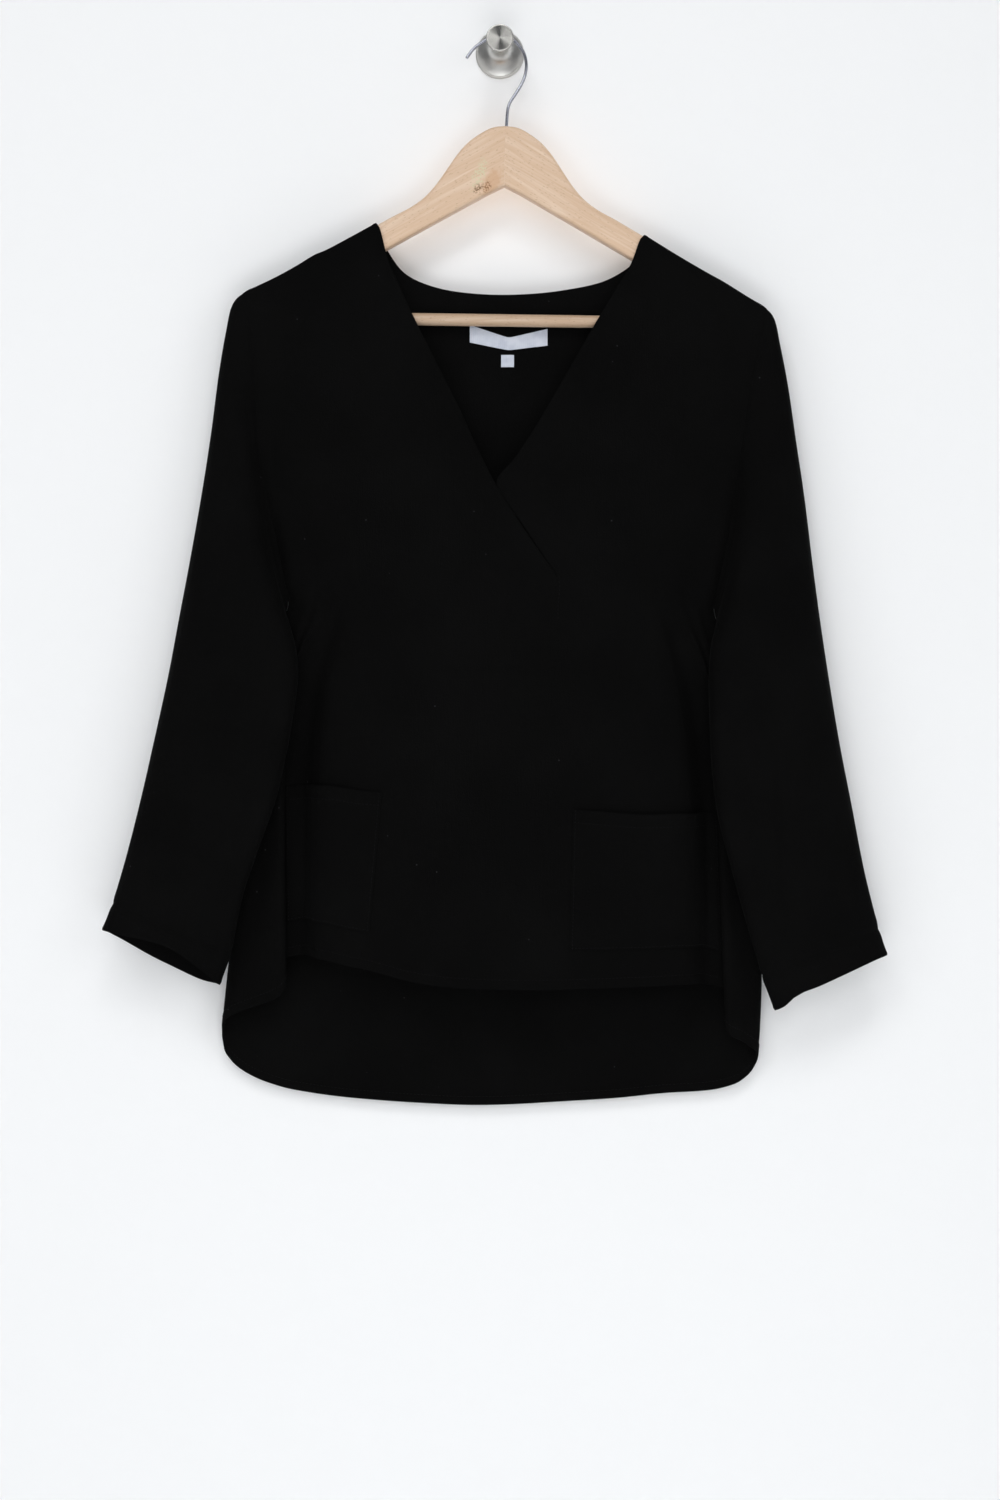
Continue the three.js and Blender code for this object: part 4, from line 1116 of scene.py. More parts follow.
@dataclass(frozen=True)
class Beech:
    """Beech with a thin satin lacquer: pale pinkish straw, straight grain, and short brown flecks."""

    name: str = "lacquered_beech"
    pale: str = "#dcc3ab"
    warm: str = "#d0b194"
    line: str = "#c4a283"
    fleck: str = "#9f7a58"
    # Sizes of the figure, the fine lines and the flecks, along the grain and across it
    figure_mm: tuple[float, float, float] = (110, 9, 7)
    line_mm: tuple[float, float, float] = (45, 1.3, 1.2)
    fleck_mm: tuple[float, float, float] = (5, 1.5, 1.5)
    relief_m: float = 0.00012
    scar_turn: float = 22.0
    # Place, size, colour, strength, and whether it is torn into specks
    scars: tuple = (
        ((-7.0, -36.0, -119.0), (9.0, 7.0, 15.0), "#c2936a", 0.5, False),
        ((-17.5, -36.0, -112.0), (7.0, 6.0, 17.0), "#cdc5a2", 0.8, True),
        ((-11.5, -36.0, -122.5), (4.5, 6.0, 6.0), "#8d6238", 0.9, True),
        ((-18.5, -36.0, -124.0), (5.0, 6.0, 6.0), "#7e5c38", 0.9, True),
    )

    def material(self) -> Material:
        """The wood's material, whose pattern follows each piece's own grain direction."""
        material, tree, shader, place = new_material(self.name)
        grain = add_node(tree, "ShaderNodeAttribute", {"attribute_name": "grain"}).outputs["Vector"]
        figure = noise(tree, stretched(tree, grain, *self.figure_mm), 1.0, 4.0, Distortion=0.7)
        tone = ramp(tree, figure, [(0.32, self.pale), (0.5, self.warm), (0.68, self.pale)])
        lines = noise(tree, stretched(tree, grain, *self.line_mm), 1.0, 3.0)
        tone = blend_colours(tree, remap(tree, lines, 0.0, 0.5, 0.5, 0.75), tone, linear(self.line))
        short = stretched(tree, grain, *self.fleck_mm)
        flecks = add_node(tree, "ShaderNodeTexVoronoi", inputs={"Vector": short, "Scale": 1.0})
        flecked = remap(tree, flecks.outputs["Distance"], 0.45, 0.0, 0.12, 0.24)
        tone = blend_colours(tree, flecked, tone, linear(self.fleck))
        set_inputs(tree, shader, {
            "Base Color": self.knotted(tree, place, tone),
            "Normal": relief(tree, lines, 0.25, self.relief_m),
            "Roughness": 0.46,
            "Coat Weight": 0.12,
            "Coat Roughness": 0.3,
        })
        return material

    def knotted(self, tree: NodeTree, place: NodeSocket,
                tone: NodeSocket) -> NodeSocket:
        """Adds the small scar under the apex: a warm stain, pale torn fibres and brown specks.

        Args:
            tree: The node tree.
            place: Object coordinates.
            tone: The wood's colour.

        Returns:
            The colour with the scar.
        """
        rough = noise(tree, place, per_mm(4), 4.0)
        specks = noise(tree, place, per_mm(1.7))
        for at, size, colour, weight, speckled in self.scars:
            centred = add_node(tree, "ShaderNodeMapping", {"vector_type": "TEXTURE"}, {
                "Vector": place, "Location": [value / MM_PER_M for value in at],
                "Rotation": (0.0, math.radians(self.scar_turn), 0.0),
                "Scale": [value / MM_PER_M for value in size]})
            radius = add_node(tree, "ShaderNodeVectorMath", {"operation": "LENGTH"}, {
                0: centred.outputs["Vector"]})
            ragged = add_node(tree, "ShaderNodeMath", {"operation": "MULTIPLY_ADD"}, {
                0: rough, 1: 1.3, 2: radius.outputs["Value"]})
            factor = remap(tree, ragged.outputs["Value"], weight, 0.0, 1.15, 1.6)
            if speckled:
                torn = remap(tree, specks, 0.0, 1.0, 0.46, 0.54)
                factor = add_node(tree, "ShaderNodeMath", {"operation": "MULTIPLY"}, {
                    0: torn, 1: factor}).outputs["Value"]
            tone = blend_colours(tree, factor, tone, linear(colour))
        return tone


@dataclass(frozen=True)
class BrushedSteel:
    """Stainless steel brushed while it turned: fine rings round its axis that draw highlights out as rays."""

    name: str = "spun_brushed_stainless"
    # These default tones are the knob's: darker than the plate's steel, painted shade that dims what the knob
    # mirrors.
    grey: str = "#aaa9a5"
    dark: str = "#92918e"
    roughness: float = 0.22
    anisotropic: float = 0.93
    smudge_mm: float = 6.0

    def material(self) -> Material:
        """The steel's material. Its tangent follows the UV map, which runs round the axis."""
        material, tree, shader, place = new_material(self.name)
        rings = add_node(tree, "ShaderNodeUVMap", {"uv_map": "around"}).outputs["UV"]
        drawn = add_node(tree, "ShaderNodeMapping", inputs={"Vector": rings, "Scale": (3.0, 260.0, 1.0)})
        brushed = noise(tree, drawn.outputs["Vector"], 1.0)
        smudge = noise(tree, place, per_mm(self.smudge_mm))
        tangent = add_node(tree, "ShaderNodeTangent", {"direction_type": "UV_MAP", "uv_map": "around"})
        set_inputs(tree, shader, {
            "Base Color": ramp(tree, brushed, [(0.3, self.dark), (0.7, self.grey)]),
            "Roughness": remap(tree, smudge, self.roughness - 0.05, self.roughness + 0.07),
            "Tangent": tangent.outputs["Tangent"],
            "Metallic": 1.0,
            "Anisotropic": self.anisotropic,
        })
        return material


@dataclass(frozen=True)
class ChromedWire:
    """Steel wire with bright chrome plating: dark and light by what it mirrors, with faint drawing marks."""

    name: str = "chromed_steel_wire"
    colour: str = "#adafb8"
    dull: str = "#9a9ca6"
    roughness: float = 0.12
    mark_mm: float = 2.5

    def material(self) -> Material:
        """The wire's material."""
        material, tree, shader, place = new_material(self.name)
        marks = noise(tree, place, per_mm(self.mark_mm))
        set_inputs(tree, shader, {
            "Base Color": ramp(tree, marks, [(0.2, self.dull), (0.8, self.colour)]),
            "Roughness": remap(tree, marks, self.roughness - 0.05, self.roughness + 0.08),
            "Metallic": 1.0,
        })
        return material


@dataclass(frozen=True)
class MattePaint:
    """Plain matte paint of the studio's wall and floor."""

    name: str
    colour: str
    one_sided: bool = False
    roughness: float = 0.9
    specular: float = 0.1

    def material(self) -> Material:
        """The paint. A one-sided wall is clear from behind and to lamps, so that the garment's back shows."""
        material, tree, shader, _ = new_material(self.name)
        set_inputs(tree, shader, {
            "Base Color": linear(self.colour),
            "Roughness": self.roughness,
            "Specular IOR Level": self.specular,
        })
        if self.one_sided:
            behind = add_node(tree, "ShaderNodeNewGeometry").outputs["Backfacing"]
            shadow = add_node(tree, "ShaderNodeLightPath").outputs["Is Shadow Ray"]
            open_to = add_node(tree, "ShaderNodeMath", {"operation": "MAXIMUM"}, {0: behind, 1: shadow})
            clear = add_node(tree, "ShaderNodeBsdfTransparent")
            both = add_node(tree, "ShaderNodeMixShader", inputs={
                0: open_to.outputs["Value"], 1: shader.outputs["BSDF"], 2: clear.outputs["BSDF"]})
            output = next(n for n in tree.nodes if n.type == "OUTPUT_MATERIAL")
            tree.links.new(both.outputs["Shader"], output.inputs["Surface"])
        return material


@dataclass(frozen=True)
class Finishes:
    """Every finish of the part, made once."""

    crepe: Material
    black_thread: Material
    white_thread: Material
    ribbon: Material
    beech: Material
    dowel: Material
    steel: Material
    knob_steel: Material
    wire: Material

    @classmethod
    def make(cls) -> "Finishes":
        """Builds the materials."""
        return cls(
            crepe=Crepe().material(),
            black_thread=Thread("black_sewing_thread", "#0e0e0f", 0.75).material(),
            white_thread=Thread("white_sewing_thread", "#c9cdd6").material(),
            ribbon=SatinRibbon().material(),
            beech=Beech().material(),
            # The bar's beech is a darker copy of the arms' beech: painted shade for the shade the bar sits
            # in.
            dowel=Beech("lacquered_beech_dowel", "#c4ac94", "#b99c80", "#ae8f72", "#8c6b4c").material(),
            steel=BrushedSteel("spun_brushed_stainless_plate", "#d2d1ce", "#bfbeba", 0.36).material(),
            # The knob's steel is a darker copy of the plate's: painted shade that dims what its face mirrors.
            knob_steel=BrushedSteel().material(),
            wire=ChromedWire().material(),
        )


# The hanger's line, which the shoulders follow


def on_hanger(run: float, drop: float) -> np.ndarray:
    """A point on the hanger, given along it and down from its apex."""
    turned_x = run * math.cos(HANGER_LEAN) + drop * math.sin(HANGER_LEAN)
    turned_z = drop * math.cos(HANGER_LEAN) - run * math.sin(HANGER_LEAN)
    return HANGER_AT + point(turned_x, 0, turned_z)


def arm_top(run: float) -> float:
    """Height of an arm's top edge at a distance out from the apex."""
    end_run, end_drop = ARM_TOP.rows[-1]
    if run >= end_run:
        return end_drop - (run - end_run) * ARM_SLOPE
    return ARM_TOP.at("drop", run)


def shoulder_top(x: float) -> float:
    """Height of the top of the hanger arm under a point of the shoulder."""
    side = math.copysign(1, x - HANGER_AT[0])
    run = abs(x - HANGER_AT[0])
    for _ in range(3):
        run += (x - on_hanger(side * run, arm_top(run))[0]) * side
    return on_hanger(side * run, arm_top(run))[2]


def over_arm(x: float, row: int, face: int) -> np.ndarray:
    """A point of cloth over an arm's top: row 0 is the shoulder seam and row 2 hangs free."""
    out, up = ROUNDING[row]
    return point(x, HANGER_AT[1] + face * out, shoulder_top(x) + up + SHOULDER_LIFT.at("up", x))


# Rows of the garment's panels


def armhole_point(side: Side, row: int, face: int) -> np.ndarray:
    """The armhole seam's point in an upper row, on the front (-1) or the back (1)."""
    table = ARMHOLE[side]
    rise = UPPER_ROWS[row]
    x = side.value * table.at("out", rise)
    from_top = len(UPPER_ROWS) - 1 - row
    if from_top < len(ROUNDING):
        return over_arm(x, from_top, face)
    return point(x, table.at("front_y" if face < 0 else "back_y", rise), table.at("z", rise))


def neck_point(side: Side, row: int) -> np.ndarray:
    """The front neck edge's point in an upper row."""
    table = NECK_EDGE[side]
    rise = UPPER_ROWS[row]
    x = table.at("x", rise)
    from_top = len(UPPER_ROWS) - 1 - row
    if from_top < len(ROUNDING):
        return over_arm(x, from_top, -1)
    found = point(x, table.at("y", rise), table.at("z", rise))
    if side is Side.LEFT:
        if rise < V_RISE:
            t = rise / V_RISE
            found[0] = mix(WRAP_END_X, VEE_AT[0], t)
            found[2] = mix(WRAP_END_Z, VEE_AT[1], t)
        if rise > 0:
            found[0] += SLASH_OPEN
        return found
    near = min(rise / UPPER_ROWS[1], 1)
    far = 1 - smooth(min(max((rise - V_RISE) / (1 - V_RISE), 0), 1))
    found[1] -= OVERLAP * near * far
    return found


def chest_height(side: Side, x: float) -> float:
    """Height of the chest line at a place across the front."""
    reach = 200 - side.value * 50
    return mix(WRAP_END_Z, CHEST_Z[side], abs(x - WRAP_END_X) / reach)


def lower_front_row(side: Side, drop: float) -> list[np.ndarray]:
    """Points across one half of the front below the chest line, from the side seam to the centre line.

    Args:
        side: Which half.
        drop: From 0, at the chest line, to 1, at the hem.

    Returns:
        The row's points.
    """
    s = side.value
    table = SIDE_FOLD[side]
    seam, ridge, tuck, face, seam_y, flank_y, ridge_y, valley_y, face_y, fold = (
        table.at(name, drop) for name in table.columns[1:]
    )
    turn_y = seam_y - SEAM_TURN
    folded = [
        (seam, seam_y),
        (seam - SEAM_ROUND[0], turn_y),
        (seam - SEAM_ROUND[1], mix(turn_y, flank_y, 0.7)),
        (mix(seam, ridge, 0.5), flank_y),
        (ridge + RIDGE_LIP, ridge_y),
        (ridge, ridge_y + RIDGE_TURN),
        (ridge + RIDGE_LIP, ridge_y + 2 * RIDGE_TURN),
        (tuck - TUCK_LIP[0], valley_y - 2 * TUCK_TURN),
        (tuck, valley_y - TUCK_TURN),
        (tuck - TUCK_LIP[1], valley_y),
        (ridge, valley_y + 0.5),
        (face + FACE_ROUND[0], valley_y - 1),
        (face + FACE_ROUND[1], mix(valley_y, face_y, 0.4)),
        (face + FACE_ROUND[2], mix(valley_y, face_y, 0.82)),
        (face - FACE_IN, face_y),
    ]
    open_seam, open_face = table.rows[0][1], table.rows[0][4] - FACE_IN
    row = []
    for column, (out, y) in enumerate(folded):
        t = column / FOLD_COLUMNS
        x = s * mix(mix(seam, face - FACE_IN, t), out, fold)
        chest = mix(CHEST_Z[side], chest_height(side, s * mix(open_seam, open_face, t)), t)
        open_y = mix(seam_y, face_y, math.sin(t * math.pi / 2))
        row.append(point(x, mix(open_y, y, fold), mix(chest, SIDE_HEM[side].at("z", column), drop)))
    brow = row[-1]
    pocket_x = POCKET_EDGE[side].at("x", drop)

    def face_point(x: float) -> np.ndarray:
        t = min(max((x - brow[0]) / (WRAP_END_X - brow[0]), 0), 1)
        y = mix(brow[1], FACE_DEPTH.at("y", drop), math.sin(t * math.pi / 2))
        return point(x, y, mix(chest_height(side, x), FACE_HEM.at("z", x), drop))

    for k in range(1, BROW_COLUMNS[side] + 1):
        row.append(face_point(mix(brow[0], pocket_x, k / BROW_COLUMNS[side])))
    for k in range(1, CENTRE_COLUMNS[side] + 1):
        row.append(face_point(mix(pocket_x, WRAP_END_X, k / CENTRE_COLUMNS[side])))
    return row


def upper_front_row(side: Side, row: int) -> list[np.ndarray]:
    """Points across one half of the front above the chest line, from the armhole to the neck edge."""
    chest = lower_front_row(side, 0)
    outer = armhole_point(side, row, -1)
    inner = neck_point(side, row)
    rise = UPPER_ROWS[row]
    from_top = len(UPPER_ROWS) - 1 - row
    last = len(chest) - 1
    span = chest[last][0] - chest[0][0]
    found = []
    for column, start in enumerate(chest):
        part = (start[0] - chest[0][0]) / span
        t = mix(part, column / last, smooth(rise))
        if column in (0, last):
            found.append(outer if column == 0 else inner)
        elif from_top < len(ROUNDING):
            found.append(over_arm(mix(outer[0], inner[0], t), from_top, -1))
        else:
            flat = mix(outer, inner, t)
            crown = start[1] - mix(chest[0][1], chest[last][1], part)
            flat[1] += crown * (1 - smooth(rise))
            found.append(flat)
    return found


def back_top_row() -> list[np.ndarray]:
    """The top row of the back: shoulder, neckline, shoulder."""
    def seam(side: Side) -> list[np.ndarray]:
        start = armhole_point(side, len(UPPER_ROWS) - 1, 1)[0]
        end = NECK_EDGE[side].rows[-1][1]
        count = BACK_SHOULDER_COLUMNS
        return [over_arm(mix(start, end, k / count), 0, 1) for k in range(count + 1)]

    def turn(side: Side) -> list[np.ndarray]:
        edge = NECK_EDGE[side].rows[-1][1]
        return [over_arm(edge - side.value * into, row, 1) for into, row in NECK_TURN]

    neck = [point(x, BACK_NECK_Y, z) for x, z in BACK_NECK]
    left = seam(Side.LEFT) + turn(Side.LEFT)
    return seam(Side.RIGHT) + turn(Side.RIGHT) + neck + left[::-1]


def lower_back_row(drop: float, columns: int) -> list[np.ndarray]:
    """The back below the chest line, at a drop: flat, and rounding forward to the side seams."""
    ends = []
    for side in Side:
        table = SIDE_FOLD[side]
        z = mix(CHEST_Z[side], SIDE_HEM[side].rows[0][1], drop)
        ends.append(point(side.value * table.at("seam", drop), table.at("seam_y", drop), z))
    last = columns - 1
    first_x, last_x = BACK_HEM.rows[0][0], BACK_HEM.rows[-1][0]
    edge = len(BACK_ROUND) - 1
    inset = BACK_ROUND[edge][0]
    row = [ends[0]]
    for column in range(1, last):
        nearest = min(column, last - column)
        end = ends[0] if column < last / 2 else ends[1]
        x = mix(ends[0][0] + inset, ends[1][0] - inset, (column - edge) / (last - 2 * edge))
        if nearest <= edge:
            x = end[0] - math.copysign(BACK_ROUND[nearest][0], end[0])
        across = (x - ends[0][0]) / (ends[1][0] - ends[0][0])
        hem = BACK_HEM.at("z", mix(first_x, last_x, across))
        z = mix(mix(CHEST_Z[Side.RIGHT], CHEST_Z[Side.LEFT], across), hem, drop)
        y = BACK_DEPTH.at("y", z)
        if nearest <= edge:
            y = mix(end[1], y, BACK_ROUND[nearest][1])
        row.append(point(x, y, z))
    return [*row, ends[1]]


def upper_back_row(row: int, chest: list[np.ndarray], top: list[np.ndarray]) -> list[np.ndarray]:
    """The back above the chest line, rounding over the hanger's arms at the shoulders.

    Args:
        row: Number of the upper row.
        chest: The chest line's points.
        top: The top row's points.

    Returns:
        The row's points.
    """
    last = len(chest) - 1
    from_top = len(UPPER_ROWS) - 1 - row
    found = []
    for column, (low, high) in enumerate(zip(chest, top)):
        edge = min(column, last - column)
        side = Side.RIGHT if column < last / 2 else Side.LEFT
        if edge == 0:
            found.append(armhole_point(side, row, 1))
        elif edge <= BACK_SHOULDER_COLUMNS and from_top < len(ROUNDING):
            found.append(over_arm(high[0], from_top, 1))
        else:
            here = mix(low, high, UPPER_ROWS[row])
            if from_top > 0:
                here[1] = BACK_DEPTH.at("y", here[2])
                if edge < 3:
                    here[1] = mix(armhole_point(side, row, 1)[1], here[1], edge / 3)
            found.append(here)
    return found


def row_plan() -> tuple[np.ndarray, list[np.ndarray]]:
    """How the panels' rows are refined, the same for front, back and sleeves, from the hem up.

    Returns:
        Knots of all rows, and the stops between them.
    """
    edge = [lower_front_row(Side.RIGHT, drop)[0] for drop in reversed(LOWER_ROWS)]
    edge += [armhole_point(Side.RIGHT, row, -1) for row in range(1, len(UPPER_ROWS))]
    line = np.array(edge)
    stops = stops_of(line, ROW_STEP, ease={0: 1.35}, extra={0: 2.6, 1: 1.2})
    return knots_of(line), stops


ROW_KNOTS, ROW_STOPS = row_plan()
LOWER_COUNT = len(LOWER_ROWS) - 1
CHEST_FINE = sum(len(stops) for stops in ROW_STOPS[:LOWER_COUNT])


def refine_rows(rows: np.ndarray) -> np.ndarray:
    """Rows of a panel from the hem to the shoulder, made fine."""
    return spline(rows, ROW_KNOTS, ROW_STOPS)


def refine_columns(grid: np.ndarray, step: float = MESH_STEP, **more) -> np.ndarray:
    """Makes a panel's columns fine.

    Args:
        grid: Points by row and column.
        step: Distance between the finer columns.
        more: The other arguments of refined.

    Returns:
        Points by row and finer column.
    """
    return refined(grid.transpose(1, 0, 2), step, **more).transpose(1, 0, 2)


def soften_chest(fine: np.ndarray) -> np.ndarray:
    """Lets the cloth run on evenly past the chest line, where the side folds begin.

    Args:
        fine: Half of the front by fine row and column. Its two edges are kept.

    Returns:
        The softer half.
    """
    inside = np.minimum(abs(fine[:, :, 0] - fine[:, :1, 0]), abs(fine[:, :, 0] - fine[:, -1:, 0]))
    height = fine[:, :, 2] - fine[CHEST_FINE, :, 2]
    weight = smooth(np.clip(inside / SOFT_IN, 0, 1)) * bell(height, SOFT_REACH)
    for _ in range(SOFT_PASSES):
        even = (fine[:-2] + fine[2:]) / 2
        fine[1:-1] = mix(fine[1:-1], even, 0.5 * weight[1:-1, :, None])
    return fine


def front_grid(side: Side) -> np.ndarray:
    """One half of the front by row, from the hem, and coarse column, from the side seam."""
    lower = [lower_front_row(side, drop) for drop in reversed(LOWER_ROWS)]
    lower[-1][0] = armhole_point(side, 0, -1)
    upper = [upper_front_row(side, row) for row in range(1, len(UPPER_ROWS))]
    return np.array(lower + upper)


def back_grid() -> np.ndarray:
    """The back by row, from the hem, and coarse column, from the wearer's right."""
    top = back_top_row()
    lower = [lower_back_row(drop, len(top)) for drop in reversed(LOWER_ROWS)]
    upper = [upper_back_row(row, lower[-1], top) for row in range(1, len(UPPER_ROWS))]
    return np.array(lower + upper)


ARMHOLE_TROUGHS = {
    Side.RIGHT: Crease(((-205, -336), (-197, -394), (-188, -440), (-180, -474)), -2.8, 4.5),
    Side.LEFT: Crease(((204, -344), (197.5, -400), (190, -446), (182, -480)), -2.4, 4.5),
}
FRONT_CREASES = (
    Crease(((-196, -300), (-160, -380), (-128, -470), (-112, -600)), 1.9, 17),
    Crease(((-176, -400), (-148, -480), (-136, -580), (-130, -700)), -1.7, 12),
    Crease(((-84, -300), (-70, -420), (-58, -560), (-52, -700)), 1.1, 20),
    Crease(((-30, -560), (-22, -680), (-24, -790)), -1.2, 17),
    Crease(((22, -540), (20, -650), (30, -790)), 1.4, 21),
    Crease(((96, -500), (92, -610), (84, -700)), -1.1, 15),
    Crease(((200, -300), (168, -380), (140, -470), (124, -600)), 1.9, 16),
    Crease(((182, -410), (158, -480), (146, -570), (142, -680)), -1.6, 11),
    Crease(((52, -460), (72, -510), (80, -580)), -0.9, 8),
    Crease(((44, -462), (30, -520), (28, -600)), 0.8, 9),
    Crease(((-128, -200), (-112, -262), (-92, -330)), -0.9, 12),
    Crease(((146, -208), (130, -270), (106, -330)), -0.9, 11),
    Crease(((-150, -196), (-164, -240), (-170, -300)), 1.1, 12),
    Crease(((176, -214), (184, -262), (186, -320)), 1.2, 11),
    Crease(((-100, -640), (-40, -652), (20, -640)), 0.7, 16),
    Crease(((-194, -330), (-190, -400), (-184, -455)), -1.3, 4),
    ARMHOLE_TROUGHS[Side.RIGHT],
    ARMHOLE_TROUGHS[Side.LEFT],
)
BACK_CREASES = (
    Crease(((-170, -470), (-182, -640), (-196, -850)), 2.6, 20),
    Crease(((-128, -420), (-136, -640), (-150, -880)), -2.3, 22),
    Crease(((-72, -330), (-70, -560), (-84, -890)), 2.0, 27),
    Crease(((-18, -400), (-12, -620), (-22, -898)), -1.9, 24),
    Crease(((40, -300), (44, -560), (48, -895)), 2.1, 26),
    Crease(((98, -380), (104, -600), (110, -890)), -2.3, 23),
    Crease(((152, -450), (164, -640), (176, -880)), 2.4, 18),
    Crease(((-160, -260), (-120, -330), (-60, -370)), 1.0, 14),
    Crease(((170, -268), (126, -340), (64, -376)), 1.0, 14),
)
SLEEVE_CREASES = {
    Side.RIGHT: (
        Crease(((-184, -500), (-200, -580), (-222, -670), (-246, -760)), -2.6, 9),
        Crease(((-206, -470), (-226, -560), (-250, -660), (-272, -750)), 2.0, 13),
        Crease(((-226, -330), (-244, -440), (-266, -560)), -1.7, 13),
        Crease(((-192, -566), (-218, -586), (-248, -590)), -1.5, 7),
        Crease(((-196, -604), (-226, -622), (-262, -618)), 1.2, 8),
        Crease(((-208, -650), (-240, -668), (-276, -664)), -1.1, 7),
        Crease(((-262, -600), (-284, -680), (-306, -744)), -1.5, 10),
    ),
    Side.LEFT: (
        Crease(((188, -510), (200, -590), (216, -680), (238, -780)), -2.4, 9),
        Crease(((210, -470), (224, -570), (234, -640)), 1.8, 12),
        Crease(((234, -590), (237, -670), (240, -752)), -1.9, 5.5),
        Crease(((246, -600), (250, -680), (256, -756)), 1.3, 8),
        Crease(((232, -340), (246, -450), (258, -560)), -1.6, 13),
        Crease(((190, -580), (214, -596), (240, -592)), -1.3, 7),
        Crease(((196, -632), (228, -650), (262, -640)), 1.1, 8),
        Crease(((268, -640), (282, -700), (296, -758)), -1.4, 9),
    ),
}
SLEEVE_BACK_CREASES = {
    side: (
        Crease(tuple((side.value * x, z) for x, z in ((196, -480), (214, -590), (240, -700))), -2.2, 11),
        Crease(tuple((side.value * x, z) for x, z in ((226, -400), (248, -540), (278, -700))), 1.8, 14),
        Crease(tuple((side.value * x, z) for x, z in ((200, -610), (232, -628), (266, -616))), -1.2, 8),
    )
    for side in Side
}


# Each half's outer and inner column, and a tube's upper and lower row: the two sides are wound mirrored
OUTER_INNER = {
    Side.RIGHT: (Edge.FIRST_COLUMN, Edge.LAST_COLUMN),
    Side.LEFT: (Edge.LAST_COLUMN, Edge.FIRST_COLUMN),
}
UPPER_LOWER = {
    Side.RIGHT: (Edge.LAST_ROW, Edge.FIRST_ROW),
    Side.LEFT: (Edge.FIRST_ROW, Edge.LAST_ROW),
}


def armhole_loop(side: Side) -> np.ndarray:
    """The armhole's points, up the back and down the front."""
    rows = range(len(UPPER_ROWS))
    back = [armhole_point(side, row, 1) for row in rows]
    front = [armhole_point(side, row, -1) for row in reversed(rows)]
    return np.array(back[:-1] + front[:-1])


def ring_ends(edges: tuple[float, ...]) -> list[np.ndarray]:
    """A ring's outer and inner point, from a row of the rings' columns."""
    at = dict(zip(RING_COLUMNS, edges))
    return [point(at[f"{end}_x"], at[f"{end}_y"], at[f"{end}_z"]) for end in ("outer", "inner")]


